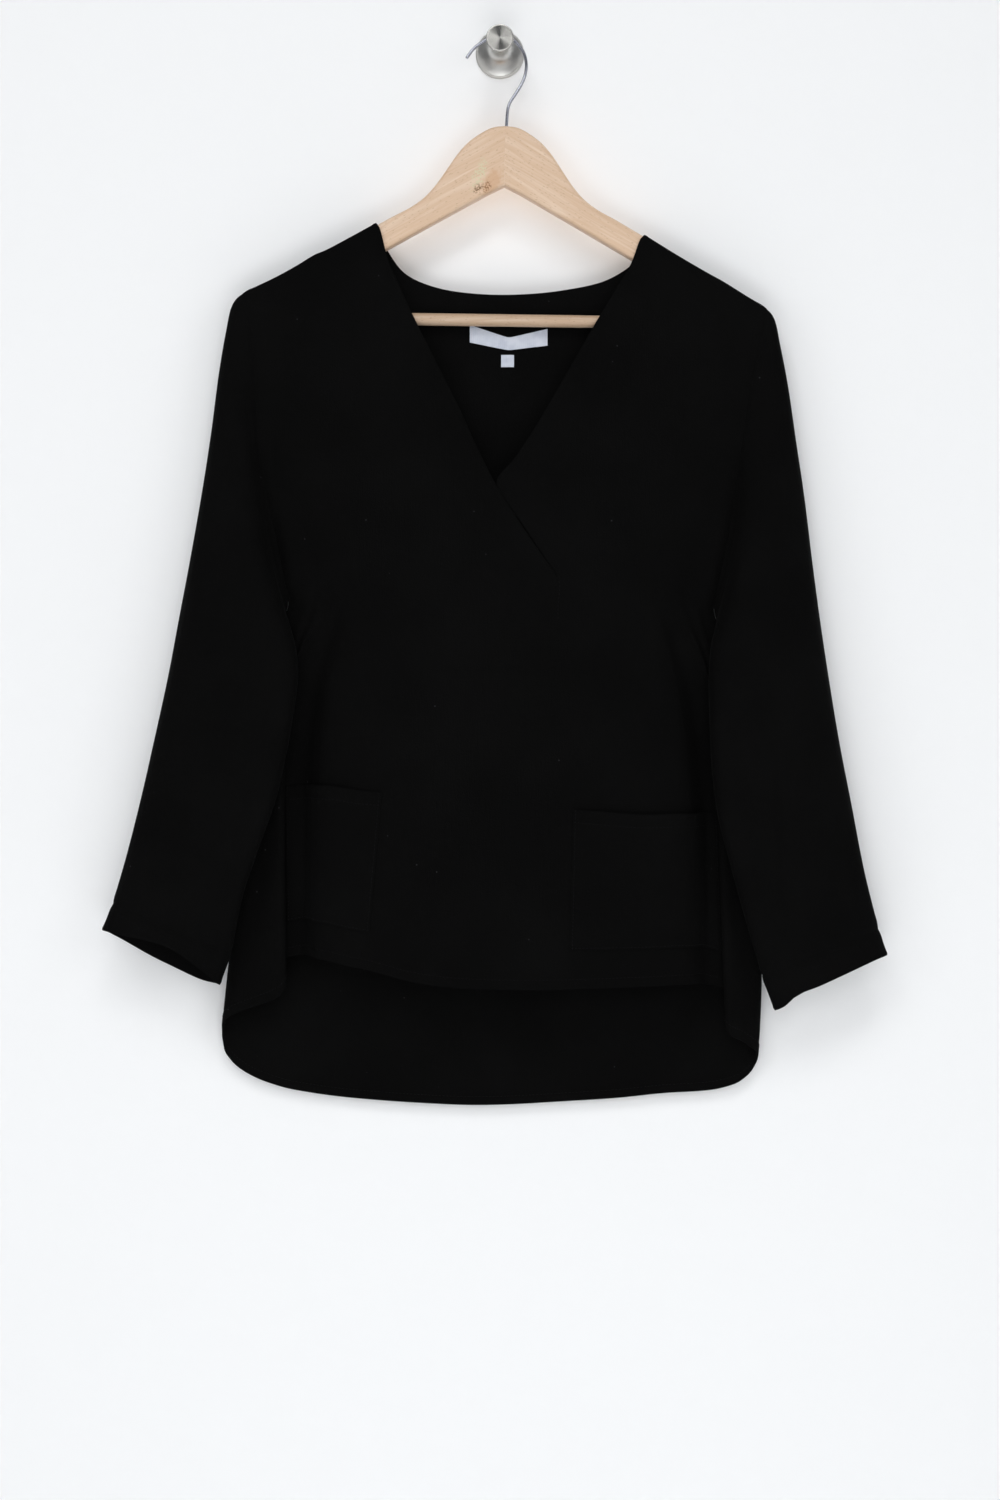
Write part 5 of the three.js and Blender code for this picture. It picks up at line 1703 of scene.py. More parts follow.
@dataclass
class Garment:
    """The sewn top: its panels, sleeves, cuffs, pockets, labels and stitching."""

    finishes: Finishes
    pocket_mouth: float = 12.5
    pocket_fill: float = 0.5
    gape_from: float = 0.55
    edge_stitch: float = 1.8
    tack_length: float = 34.0
    neck_roll: float = 0.35
    underlap_show: float = 0.4
    cuff_rows: int = 13
    cuff_half_depth: float = 6.0
    cuff_bulge: float = 0.9
    cuff_flare: float = 0.5
    cuff_lining: float = 0.7
    ribbon_mesh: tuple[int, int] = (48, 10)
    ribbon_off: float = 0.55
    ribbon_waves: tuple[float, float] = (0.45, 0.2)
    label_thick: float = 0.5
    hem_reach: float = 100.0
    stitch_lines: dict[str, list[np.ndarray]] = field(default_factory=dict)

    def front(self) -> Sheet:
        """The front: two halves that share the centre line below the wrap's end and part above it."""
        grids = {side: front_grid(side) for side in Side}
        fine = {}
        for side, other in ((Side.RIGHT, Side.LEFT), (Side.LEFT, Side.RIGHT)):
            grid = grids[side]
            past = 2 * grid[:, -1] - grid[:, -2]
            past[: LOWER_COUNT + 1] = grids[other][: LOWER_COUNT + 1, -2]
            last = grid.shape[1] - 2
            across = refine_columns(grid, after=past, ease={last: -1.3}, extra={last: 1.6})
            fine[side] = soften_chest(refine_rows(across))
        lower = slice(0, CHEST_FINE + 1)
        fine[Side.LEFT][lower, -1] = fine[Side.RIGHT][lower, -1]
        sheet = Sheet("front_cloth")
        sheet.add("right", fine[Side.RIGHT])
        sheet.add("left", fine[Side.LEFT][:, ::-1])
        return sheet.weld()

    def back(self) -> Sheet:
        """The back, one panel."""
        fine = refine_rows(refine_columns(back_grid()))
        hem = fine[0]
        off = np.array([BACK_HEM.at("z", x) - z for x, _, z in hem])
        height = fine[:, :, 2] - hem[None, :, 2]
        fine[:, :, 2] += off[None, :] * (1 - smooth(np.clip(height / self.hem_reach, 0, 1)))
        return Sheet("back_cloth").add("back", fine[:, ::-1]).weld()

    def turns(self, side: Side) -> np.ndarray:
        """Where the armhole's points lie round a ring: 0 at the outer edge, positive to the front."""
        loop = armhole_loop(side)
        under = loop[0]
        axis = loop[len(UPPER_ROWS) - 1] - under
        half = len(loop) / 2
        found = []
        for k, here in enumerate(loop):
            across = min(max(2 * float((here - under) @ axis) / float(axis @ axis) - 1, -1), 1)
            turn = math.acos(math.copysign(abs(across) ** (SLEEVE_SQUARENESS / 2), across))
            found.append(mix(-turn if k <= half else turn, k / half * math.pi - math.pi, 0.5))
        return np.array(found)

    def ring(self, edges: tuple[float, ...], turns: np.ndarray) -> np.ndarray:
        """One ring of a sleeve or cuff: a flattened tube between its outer and inner edges.

        Args:
            edges: A row of the rings' columns.
            turns: Where each point lies round the ring.

        Returns:
            The ring's points.
        """
        outer, inner = ring_ends(edges)
        middle = (outer + inner) / 2
        power = 2 / SLEEVE_SQUARENESS
        across, deep = (np.sign(way) * np.abs(way) ** power for way in (np.cos(turns), np.sin(turns)))
        return middle + across[:, None] * (outer - middle) + deep[:, None] * point(0, -edges[-1], 0)

    def loop_stops(self) -> list[np.ndarray]:
        """Stops round the armhole, the same as the panels' rows beside it: up the back, down the front."""
        upper = ROW_STOPS[LOWER_COUNT:]
        down = [np.concatenate([[0], 1 - stops[:0:-1]]) for stops in reversed(upper)]
        return upper + down

    def fine_ring(self, ring: np.ndarray) -> np.ndarray:
        """A ring's points, as many as the fine armhole has."""
        return spline(ring, knots_of(ring, closed=True), self.loop_stops(), closed=True)

    def tube(self, part: str, side: Side, grid: np.ndarray) -> Sheet:
        """A closed tube of cloth, wound so that its faces point out.

        Args:
            part: What it is.
            side: Which side.
            grid: Its rings from the top down.

        Returns:
            The tube.
        """
        wound = grid[::-1] if side is Side.RIGHT else grid
        return Sheet(f"{part}_{side.word}_cloth").add(part, wound, closed=True).weld()

    def sleeve(self, side: Side, front: Sheet, back: Sheet) -> tuple[Sheet, np.ndarray]:
        """A sleeve, whose first ring is the armhole of the front and the back.

        Args:
            side: Which sleeve.
            front: The front.
            back: The back.

        Returns:
            The sleeve and its last ring, which the cuff takes up.
        """
        turns = self.turns(side)
        table = SLEEVE_RINGS[side]
        front_column, back_column = OUTER_INNER[side]
        up = back.path("back", back_column, CHEST_FINE)
        down = front.path(side.word, front_column, CHEST_FINE)[::-1]
        rest = armhole_loop(side) - self.ring(table[0], turns)
        keep = list(ARMHOLE_KEEP) + [0] * len(table)
        rings = [self.fine_ring(self.ring(edges, turns) + rest * kept) for edges, kept in zip(table, keep)]
        rings[0] = np.vstack([up[:-1], down[:-1]])
        grid = refined(np.array(rings), MESH_STEP, extra={0: 2.0})
        return self.tube("sleeve", side, grid), grid[-1]

    def cuff(self, side: Side, top: np.ndarray) -> Sheet:
        """A cuff band with a wavy lower edge.

        Args:
            side: Which cuff.
            top: The sleeve's last ring.

        Returns:
            The cuff.
        """
        bottom = self.fine_ring(self.ring(CUFF_RING[side], self.turns(side)))
        up = unit(top.mean(axis=0) - bottom.mean(axis=0))
        outer, inner = ring_ends(CUFF_RING[side])
        width = inner - outer
        for k, here in enumerate(bottom):
            across = float((here - outer) @ width) / float(width @ width)
            middle_y = mix(outer[1], inner[1], across)
            face = np.clip((middle_y - here[1]) / self.cuff_half_depth, -1, 1)
            lift = CUFF_LIFT[side].at("front" if face > 0 else "back", across)
            bottom[k] = here + up * lift * abs(face)
        rows = []
        for t in np.arange(self.cuff_rows + 1) / self.cuff_rows:
            here = mix(top, bottom, t)
            flare = self.cuff_bulge * math.sin(math.pi * min(t * 1.4, 1)) + self.cuff_flare * t
            rows.append(here + unit(here - here.mean(axis=0)) * [0, 1, 0] * flare)
        return self.tube("cuff", side, np.array(rows))

    def pocket(self, side: Side) -> Sheet:
        """A patch pocket, from the front's own rows moved out, its mouth standing a little proud."""
        outer_top, inner_top, bottom, sag, gape = POCKET[side]
        first, last = POCKET_COLUMN, FOLD_COLUMNS + BROW_COLUMNS[side]
        rows = []
        for k in range(POCKET_ROWS + 1):
            row = []
            for column in range(first, last + 1):
                t = (column - first) / (last - first)
                top = mix(outer_top, inner_top, t) + sag * math.sin(math.pi * t)
                row.append(lower_front_row(side, mix(bottom, top, k / POCKET_ROWS))[column])
            rows.append(row if side is Side.RIGHT else row[::-1])
        grid = refined(refine_columns(np.array(rows), POCKET_STEPS[0]), POCKET_STEPS[1])
        sheet = Sheet(f"pocket_{side.word}_cloth").add("pocket", grid).weld()
        index = sheet.grids["pocket"]
        t = np.linspace(0, 1, index.shape[0])[:, None]
        u = np.linspace(0, 1, index.shape[1])[None, :]
        upper = np.clip((t - self.gape_from) / (1 - self.gape_from), 0, 1)
        proud = gape * np.sin(math.pi * u) ** 1.3 * upper**2
        proud = proud + self.pocket_fill * np.sin(math.pi * u) * np.sin(math.pi * t)
        by = np.full(len(sheet.points), LAYER_STEP)
        by[index.reshape(-1)] += proud.reshape(-1)
        sheet.shift(by)
        return sheet

    def underlap(self, front: Sheet) -> Sheet:
        """The underlap, hanging behind the front below the V."""
        across, down = UNDERLAP_MESH
        vee = np.array(VEE_AT)
        wrap_end = np.array([WRAP_END_X, WRAP_END_Z])
        low_left, foot_left, foot_right = (np.array(p, float) for p in UNDERLAP_OUTLINE)
        near = front.points[front.normals[:, 1] < -0.5]
        grid = np.empty((down + 1, across + 1, 3))
        for i in range(down + 1):
            v = 2 * i / down
            left = mix(vee, low_left, v) if v < 1 else mix(low_left, foot_left, v - 1)
            right = mix(vee, wrap_end, v) if v < 1 else mix(wrap_end, foot_right, v - 1)
            for j in range(across + 1):
                x, z = mix(left, right, j / across)
                gaps = np.hypot(near[:, 0] - x, near[:, 2] - z)
                found = near[np.argsort(gaps)[:UNDERLAP_NEAR], 1]
                grid[down - i, j] = point(x, found.max() + LAYER_STEP + UNDERLAP_BEHIND, z)
        depth = grid[:, :, 1]
        for _ in range(UNDERLAP_PASSES):
            beside = depth[:-2, 1:-1] + depth[2:, 1:-1] + depth[1:-1, :-2] + depth[1:-1, 2:]
            depth[1:-1, 1:-1] = beside / 4
        return Sheet("underlap_cloth").add("underlap", grid).weld()

    def ribbon(self, name: str, left: tuple[float, float, float], right: tuple[float, float, float],
               sag: tuple[float, float]) -> Sheet:
        """A white strip on the inside of the back, whose middle may sag in a soft V.

        Args:
            name: Name of the piece.
            left: Its end on the viewer's left: place across, top and bottom.
            right: Its other end.
            sag: How far the middle of its top and bottom edges hangs below the ends.

        Returns:
            The strip.
        """
        columns, rows = self.ribbon_mesh
        broad, fine = self.ribbon_waves
        grid = np.empty((rows + 1, columns + 1, 3))
        for i in range(rows + 1):
            for k in range(columns + 1):
                t = k / columns
                x, top, bottom = (mix(a, b, t) for a, b in zip(left, right))
                droop = 1 - math.sqrt((2 * t - 1) ** 2 + 0.004)
                z = mix(bottom - sag[1] * droop, top - sag[0] * droop, i / rows)
                lift = broad * math.sin(math.pi * t) + fine * math.sin(3 * math.pi * t + 1)
                off = CLOTH / 2 + self.ribbon_off + max(lift, 0) * (1 - 0.5 * i / rows)
                y = BACK_DEPTH.at("y", z) - off
                grid[i, k] = point(x, y, z)
        return Sheet(name).add("ribbon", grid).weld()

    def declare(self, sheet: Sheet, node: str,
                thick: float = CLOTH, material: Material | None = None) -> None:
        """Makes a cloth piece's object, puts it in place of its CAD node, and sews its stitches.

        Args:
            sheet: The piece.
            node: The CAD node that it stands for.
            thick: Thickness.
            material: Its finish, the crepe where none is given.
        """
        made = sheet.solid(material or self.finishes.crepe, thick)
        dress(made, node)
        sewn = self.stitches(node)

    def build(self) -> None:
        """Builds and dresses every piece of the garment."""
        front, back = self.front(), self.back()
        sleeves, cuffs = {}, {}
        for side in Side:
            sleeves[side], last_ring = self.sleeve(side, front, back)
            cuffs[side] = self.cuff(side, last_ring)
        sew([front, back, *sleeves.values(), *cuffs.values()])
        self.finish_front(front)
        self.finish_back(back)
        for side in Side:
            self.finish_sleeve(side, sleeves[side], cuffs[side])
        self.declare(front, "front")
        self.declare(back, "back")
        for side in Side:
            self.declare(sleeves[side], f"sleeve_{side.word}")
            self.declare(cuffs[side], f"cuff_{side.word}")
            self.build_pocket(side)
        self.declare(self.underlap(front), "underlap")
        self.build_labels()

    def finish_front(self, front: Sheet) -> None:
        """Works the front's creases, seams, edges and hem."""
        front.fold(FRONT_CREASES, -1)
        gap, _ = distance_to(front.points, flat_line(UNDERLAP_OUTLINE), flat=True)
        facing = np.clip(-front.normals[:, 1], 0, 1)
        front.shift(self.underlap_show * bell(gap, 2.4) * facing)
        for side in Side:
            outer, inner = OUTER_INNER[side]
            front.seam(front.path(side.word, outer))
            front.seam(front.path(side.word, Edge.LAST_ROW), depth=0.45)
            rolled, _ = distance_to(front.points, front.path(side.word, inner, CHEST_FINE))
            front.outer += self.neck_roll * (bell(rolled - 1.6, 1.6) - bell(rolled, 0.8))
            front.inner += 0.5 * step_down(rolled, 4.0, 2.0)
        hems = [front.path("right", Edge.FIRST_ROW), front.path("left", Edge.FIRST_ROW)[1:]]
        front.hem(np.vstack(hems), FRONT_HEM)
        lines = [front.inset(word, Edge.FIRST_ROW, FRONT_HEM - STITCH_IN) for word in ("right", "left")]
        tack = front.inset("right", Edge.LAST_COLUMN, 0.0)
        below = tack[(tack[:, 2] < WRAP_END_Z) & (tack[:, 2] > WRAP_END_Z - self.tack_length)]
        self.stitch_lines["front"] = [np.vstack(lines), below]

    def finish_back(self, back: Sheet) -> None:
        """Works the back's creases, seams, neckline and hem."""
        back.fold(BACK_CREASES, 1)
        for edge in (Edge.FIRST_COLUMN, Edge.LAST_COLUMN):
            back.seam(back.path("back", edge))
        gap, _ = distance_to(back.points, back.path("back", Edge.LAST_ROW))
        back.inner += 0.45 * step_down(gap, 3.6, 2.0)
        back.hem(back.path("back", Edge.FIRST_ROW), BACK_HEM_HEIGHT)
        line = back.inset("back", Edge.FIRST_ROW, BACK_HEM_HEIGHT - STITCH_IN)
        inside = line.copy()
        inside[:, :3] -= line[:, 3:] * (CLOTH + 0.75)
        inside[:, 3:] *= -1
        self.stitch_lines["back"] = [line, inside]

    def finish_sleeve(self, side: Side, sleeve: Sheet, cuff: Sheet) -> None:
        """Works a sleeve's creases and seams and its cuff's edges.

        Args:
            side: Which sleeve.
            sleeve: The sleeve.
            cuff: Its cuff.
        """
        sleeve.fold((*SLEEVE_CREASES[side], ARMHOLE_TROUGHS[side]), -1)
        sleeve.fold(SLEEVE_BACK_CREASES[side], 1)
        upper, lower = UPPER_LOWER[side]
        sleeve.seam(sleeve.path("sleeve", upper), depth=0.7)
        for edge in (lower, Edge.FIRST_COLUMN):
            sleeve.seam(sleeve.path("sleeve", edge), depth=0.5)
        cuff.seam(cuff.path("cuff", upper), depth=0.5)
        cuff.inner += self.cuff_lining
        gap, _ = distance_to(cuff.points, cuff.path("cuff", lower))
        cuff.outer += EDGE_PULL * (bell(gap - 2.2, 1.8) - bell(gap, EDGE_WIDTH))

    def build_pocket(self, side: Side) -> None:
        """Builds a pocket with its mouth hem and edge stitching."""
        pocket = self.pocket(side)
        pocket.hem(pocket.path("pocket", Edge.LAST_ROW), self.pocket_mouth, turned_in=0.3)
        sewn_edges = (Edge.FIRST_ROW, Edge.FIRST_COLUMN, Edge.LAST_COLUMN)
        for edge in sewn_edges:
            gap, _ = distance_to(pocket.points, pocket.path("pocket", edge))
            pocket.outer -= 0.45 * bell(gap, 0.9) + 0.2 * bell(gap - self.edge_stitch, 0.8)
            pocket.inner += 0.35 * step_down(gap, 6, 2)
        mouth = pocket.inset("pocket", Edge.LAST_ROW, self.pocket_mouth - STITCH_IN, trim=1.5)
        edges = [pocket.inset("pocket", edge, self.edge_stitch, trim=1.0) for edge in sewn_edges]
        self.stitch_lines[f"pocket_{side.word}"] = [mouth, *edges]
        self.declare(pocket, f"pocket_{side.word}")

    def build_labels(self) -> None:
        """Builds the bare neck label and size tab."""
        label = self.ribbon("neck_label_ribbon", (-25.8, -237.6, -252.6), (40.6, -241, -255.2), (9.5, 5.5))
        tab = self.ribbon("size_tab_ribbon", (1, -263.2, -273.6), (12, -263.2, -273.6), (0, 0))
        lines = [label.inset("ribbon", edge, 1.6, trim=0.8) for edge in (Edge.FIRST_COLUMN, Edge.LAST_COLUMN)]
        self.stitch_lines["neck_label"] = lines
        for sheet, node in ((label, "neck_label"), (tab, "size_tab")):
            self.declare(sheet, node, self.label_thick, self.finishes.ribbon)

    def stitches(self, node: str) -> list[Object]:
        """Sews a piece's stitch lines with the stitch tree.

        Args:
            node: The piece's CAD node.

        Returns:
            The stitches in one object, or nothing where the piece has none.
        """
        if node not in self.stitch_lines:
            return []
        on_label = node == "neck_label"
        sizes = LABEL_STITCHES if on_label else SEAM_STITCHES
        thread = self.finishes.white_thread if on_label else self.finishes.black_thread
        made = sizes.sew(f"stitches_{node}", self.stitch_lines[node], thread)
        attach(made, BODY)
        log.info("%s: %d faces", made.name, len(made.data.polygons))
        return [made]


@dataclass(frozen=True)
class StitchSizes:
    """Sizes of a row of lock stitches. Thread is about 0.25 mm thick, and drawn thicker so that it shows."""

    pitch: float = 3.1
    length: float = 2.3
    radius: float = 0.22
    seed: int = 7

    def tree(self) -> NodeTree:
        """The Geometry Nodes tree that lays stitches along the edges of a mesh."""
        tree = bpy.data.node_groups.new("stitches_along_edges", "GeometryNodeTree")
        tree.interface.new_socket("Geometry", in_out="INPUT", socket_type="NodeSocketGeometry")
        for name in ("Pitch", "Stitch Length", "Thread Radius"):
            tree.interface.new_socket(name, in_out="INPUT", socket_type="NodeSocketFloat")
        tree.interface.new_socket("Seed", in_out="INPUT", socket_type="NodeSocketInt")
        tree.interface.new_socket("Thread", in_out="INPUT", socket_type="NodeSocketMaterial")
        tree.interface.new_socket("Geometry", in_out="OUTPUT", socket_type="NodeSocketGeometry")
        given = add_node(tree, "NodeGroupInput").outputs
        curve = add_node(tree, "GeometryNodeMeshToCurve", inputs={"Mesh": given["Geometry"]})
        places = add_node(tree, "GeometryNodeCurveToPoints", {"mode": "LENGTH"}, {
            "Curve": curve.outputs["Curve"], "Length": given["Pitch"]})
        capsule = add_node(tree, "GeometryNodeMeshUVSphere", inputs={
            "Segments": 6, "Rings": 4, "Radius": 1.0})
        half = add_node(tree, "ShaderNodeMath", {"operation": "MULTIPLY"}, {
            0: given["Stitch Length"], 1: 0.5})
        size = add_node(tree, "ShaderNodeCombineXYZ", inputs={
            "X": given["Thread Radius"], "Y": given["Thread Radius"], "Z": half.outputs["Value"]})
        one = add_node(tree, "GeometryNodeTransform", inputs={
            "Geometry": capsule.outputs["Mesh"], "Scale": size.outputs["Vector"]})
        uneven = add_node(tree, "FunctionNodeRandomValue", {"data_type": "FLOAT_VECTOR"}, {
            "Min": (0.9, 0.9, 0.86), "Max": (1.1, 1.1, 1.08), "Seed": given["Seed"]})
        rows = add_node(tree, "GeometryNodeInstanceOnPoints", inputs={
            "Points": places.outputs["Points"], "Instance": one.outputs["Geometry"],
            "Rotation": places.outputs["Rotation"], "Scale": uneven.outputs["Value"]})
        real = add_node(tree, "GeometryNodeRealizeInstances", inputs={"Geometry": rows.outputs["Instances"]})
        smooth_faces = add_node(tree, "GeometryNodeSetShadeSmooth", inputs={
            "Geometry": real.outputs["Geometry"]})
        dressed = add_node(tree, "GeometryNodeSetMaterial", inputs={
            "Geometry": smooth_faces.outputs["Geometry"], "Material": given["Thread"]})
        add_node(tree, "NodeGroupOutput", inputs={"Geometry": dressed.outputs["Geometry"]})
        return tree

    def sew(self, name: str, lines: Sequence[np.ndarray], thread: Material) -> Object:
        """Lays stitches along lines and returns them as one plain mesh.

        Args:
            name: Name of the piece.
            lines: Lines of points with normals.
            thread: The thread's material.

        Returns:
            The stitches' object.
        """
        places, edges = [], []
        for line in lines:
            start = len(places)
            sunk = line[:, :3] + line[:, 3:] * (self.radius * 0.35)
            places.extend((sunk / MM_PER_M).tolist())
            edges.extend((start + k, start + k + 1) for k in range(len(line) - 1))
        mesh = bpy.data.meshes.new(f"{name}_line")
        mesh.from_pydata(places, edges, [])
        guide = in_scene(f"{name}_line", mesh)
        modifier = guide.modifiers.new("stitches", "NODES")
        tree = bpy.data.node_groups.get("stitches_along_edges") or self.tree()
        modifier.node_group = tree
        values = {
            "Pitch": self.pitch / MM_PER_M,
            "Stitch Length": self.length / MM_PER_M,
            "Thread Radius": self.radius / MM_PER_M,
            "Seed": self.seed,
            "Thread": thread,
        }
        for item in tree.interface.items_tree:
            if item.in_out == "INPUT" and item.name in values:
                modifier[item.identifier] = values[item.name]
        return realised(guide, name)


SEAM_STITCHES = StitchSizes()
LABEL_STITCHES = StitchSizes(pitch=1.6, length=1.0, radius=0.14)


def realised(source: Object, name: str) -> Object:
    """The evaluated object as a plain mesh with no modifier, in place of the source.

    Args:
        source: Object with a modifier, or a curve.
        name: Name of the result.

    Returns:
        The new object.
    """
    graph = bpy.context.evaluated_depsgraph_get()
    mesh = bpy.data.meshes.new_from_object(source.evaluated_get(graph), depsgraph=graph)
    mesh.name = name
    made = in_scene(name, mesh)
    bpy.data.objects.remove(source, do_unlink=True)
    return made


@dataclass
class Hanger:
    """The beech hanger: two mitred arms, the trouser bar and the chromed hook."""

    finishes: Finishes
    thick: float = 12.0
    round_over: float = 3.0
    joint: float = 0.02
    bar_drop: float = -164.8
    bar_radius: float = 5.25
    bar_reach: float = 184.0
    peg_radius: float = 3.0
    peg_reach: float = 198.0
    wire_radius: float = 1.35
    wire_step: float = 1.2
    wire_sides: int = 20
    round_steps: int = 5
    bar_soft: float = 0.8
    bar_sides: int = 40
    # How far each piece's grain is shifted, so that no two show the same figure
    arm_grain: float = 400.0
    bar_grain: float = 900.0

    def outline(self) -> list[tuple[float, float]]:
        """One arm's outline in the hanger's own frame, from the apex round the tip and back."""
        top = [(run, ARM_TOP.at("drop", run)) for run in np.linspace(0, ARM_TOP.rows[-1][0], 34)]
        tip = refined(flat_line(ARM_TIP), 3)
        bottom = refined(flat_line(ARM_BOTTOM[:3]), 8)
        curved = [(p[0], p[2]) for p in [*tip, *bottom]]
        return [tuple(p) for p in top] + curved + [(0.0, ARM_BOTTOM[-1][1])]

    def blank(self) -> bmesh.types.BMesh:
        """Both arms in one piece with rounded edges, in the hanger's own frame, in millimetres."""
        half = self.outline()
        ring = half + [(-run, drop) for run, drop in half[-2:0:-1]]
        clean = [p for k, p in enumerate(ring) if math.dist(p, ring[k - 1]) > 0.4]
        flat = np.array(clean)
        before, after = np.roll(flat, 1, axis=0), np.roll(flat, -1, axis=0)
        way = unit(unit(flat - before) + unit(after - flat))
        inward = np.stack([way[:, 1], -way[:, 0]], -1)
        levels = []
        arc = [math.pi / 2 * k / self.round_steps for k in range(self.round_steps + 1)]
        for face, angles in ((-1, arc), (1, arc[::-1])):
            for angle in angles:
                into = self.round_over * (1 - math.sin(angle))
                y = face * (self.thick / 2 - self.round_over * (1 - math.cos(angle)))
                levels.append((into, y))
        work = bmesh.new()
        rings = []
        for into, y in levels:
            moved = flat + inward * into
            rings.append([work.verts.new((x, y, z)) for x, z in moved])
        count = len(flat)
        for low, high in zip(rings[:-1], rings[1:]):
            for k in range(count):
                n = (k + 1) % count
                work.faces.new((low[k], high[k], high[n], low[n]))
        work.faces.new(rings[0])
        work.faces.new(rings[-1][::-1])
        caps = [face for face in work.faces if len(face.verts) > 4]
        bmesh.ops.triangulate(work, faces=caps)
        bmesh.ops.recalc_face_normals(work, faces=work.faces)
        return work

    def arm(self, side: Side) -> Object:
        """One arm, cut from the blank at the mitre joint."""
        work = self.blank()
        bmesh.ops.bisect_plane(
            work,
            geom=[*work.verts, *work.edges, *work.faces],
            plane_co=(side.value * self.joint, 0, 0),
            plane_no=(-side.value, 0, 0),
            clear_outer=True,
        )
        cut = [edge for edge in work.edges if edge.is_boundary]
        bmesh.ops.holes_fill(work, edges=cut, sides=0)
        bmesh.ops.recalc_face_normals(work, faces=work.faces)
        grain = work.verts.layers.float_vector.new("grain")
        slope = Matrix.Rotation(side.value * math.atan(ARM_SLOPE), 3, "Y")
        lean = Matrix.Rotation(HANGER_LEAN, 3, "Y")
        for vert in work.verts:
            along = slope.inverted() @ vert.co
            vert[grain] = (along + Vector((self.arm_grain * side.value, 0, 0))) / MM_PER_M
            vert.co = (lean @ vert.co + Vector(HANGER_AT)) / MM_PER_M
        name = f"hanger_arm_{side.word}_beech"
        mesh = bpy.data.meshes.new(name)
        work.to_mesh(mesh)
        work.free()
        mesh.polygons.foreach_set("use_smooth", [True] * len(mesh.polygons))
        mesh.set_sharp_from_angle(angle=math.radians(35))
        mesh.materials.append(self.finishes.beech)
        return in_scene(name, mesh)

    def bar(self) -> Object:
        """The dowel across the arms, with a peg at each end."""
        soft = self.bar_soft
        half = [
            (self.bar_radius, 0),
            (self.bar_radius, self.bar_reach - soft),
            (self.bar_radius - soft, self.bar_reach),
            (self.peg_radius, self.bar_reach),
            (self.peg_radius, self.peg_reach - soft),
            (self.peg_radius - soft, self.peg_reach),
            (0, self.peg_reach),
        ]
        profile = [(radius, -along) for radius, along in half[:0:-1]]
        profile += [(self.bar_radius, t * self.bar_reach) for t in np.linspace(-0.9, 0.9, 19)]
        profile += half[1:]
        axis = Vector((math.cos(HANGER_LEAN), 0, -math.sin(HANGER_LEAN)))
        at = on_hanger(0, self.bar_drop)
        # The dowel takes the darker beech copy, painted shade.
        made = turned("hanger_bar_beech", profile, axis, at, self.finishes.dowel, around=self.bar_sides)
        grain = made.data.attributes.new("grain", "FLOAT_VECTOR", "POINT")
        shift = Vector((self.bar_grain / MM_PER_M, 0, 0))
        values = [(vert.co + shift)[:] for vert in made.data.vertices]
        grain.data.foreach_set("vector", [value for co in values for value in co])
        return made

    def hook(self) -> Object:
        """The bent wire hook, whose crown rests on the wall hook's neck."""
        route = [
            (-28.6, -11.6), (-27.4, -9.9), (-22.5, -3.5), (-14, 2.8), (-2, 7.8), (10, 4.5), (19.2, -5),
            (22.3, -15), (21.6, -25), (18.4, -33.5), (13.2, -42), (8.7, -49), (7, -53.4), (6.2, -59),
            (5.4, -72), (5.05, -87.5),
        ]
        line = refined(flat_line(route, HANGER_AT[1]), self.wire_step)
        around = self.wire_sides
        ways = unit(np.gradient(line, axis=0))
        depth = np.array([0.0, 1.0, 0.0])
        points, faces = [], []
        for k, (here, way) in enumerate(zip(line, ways)):
            beside = unit(np.cross(way, depth))
            for j in range(around):
                angle = 2 * math.pi * j / around
                radius = self.wire_radius * (0.82 if k == 0 else 1)
                points.append(here + radius * (math.cos(angle) * beside + math.sin(angle) * depth))
        for k in range(len(line) - 1):
            for j in range(around):
                n = (j + 1) % around
                a, b = k * around, (k + 1) * around
                faces.append([a + j, a + n, b + n, b + j])
        faces.append(list(range(around))[::-1])
        faces.append([len(points) - around + j for j in range(around)])
        made = mesh_object("hanger_hook_wire", np.array(points), faces, self.finishes.wire, 60)
        return outward(made)

    def build(self) -> None:
        """Builds and dresses the hanger."""
        for side in Side:
            dress(self.arm(side), f"hanger_arm_{side.word}")
        dress(self.bar(), "hanger_bar")
        dress(self.hook(), "hanger_hook")


def outward(made: Object) -> Object:
    """Turns a closed mesh's faces outwards."""
    work = bmesh.new()
    work.from_mesh(made.data)
    bmesh.ops.recalc_face_normals(work, faces=work.faces)
    work.to_mesh(made.data)
    work.free()
    return made


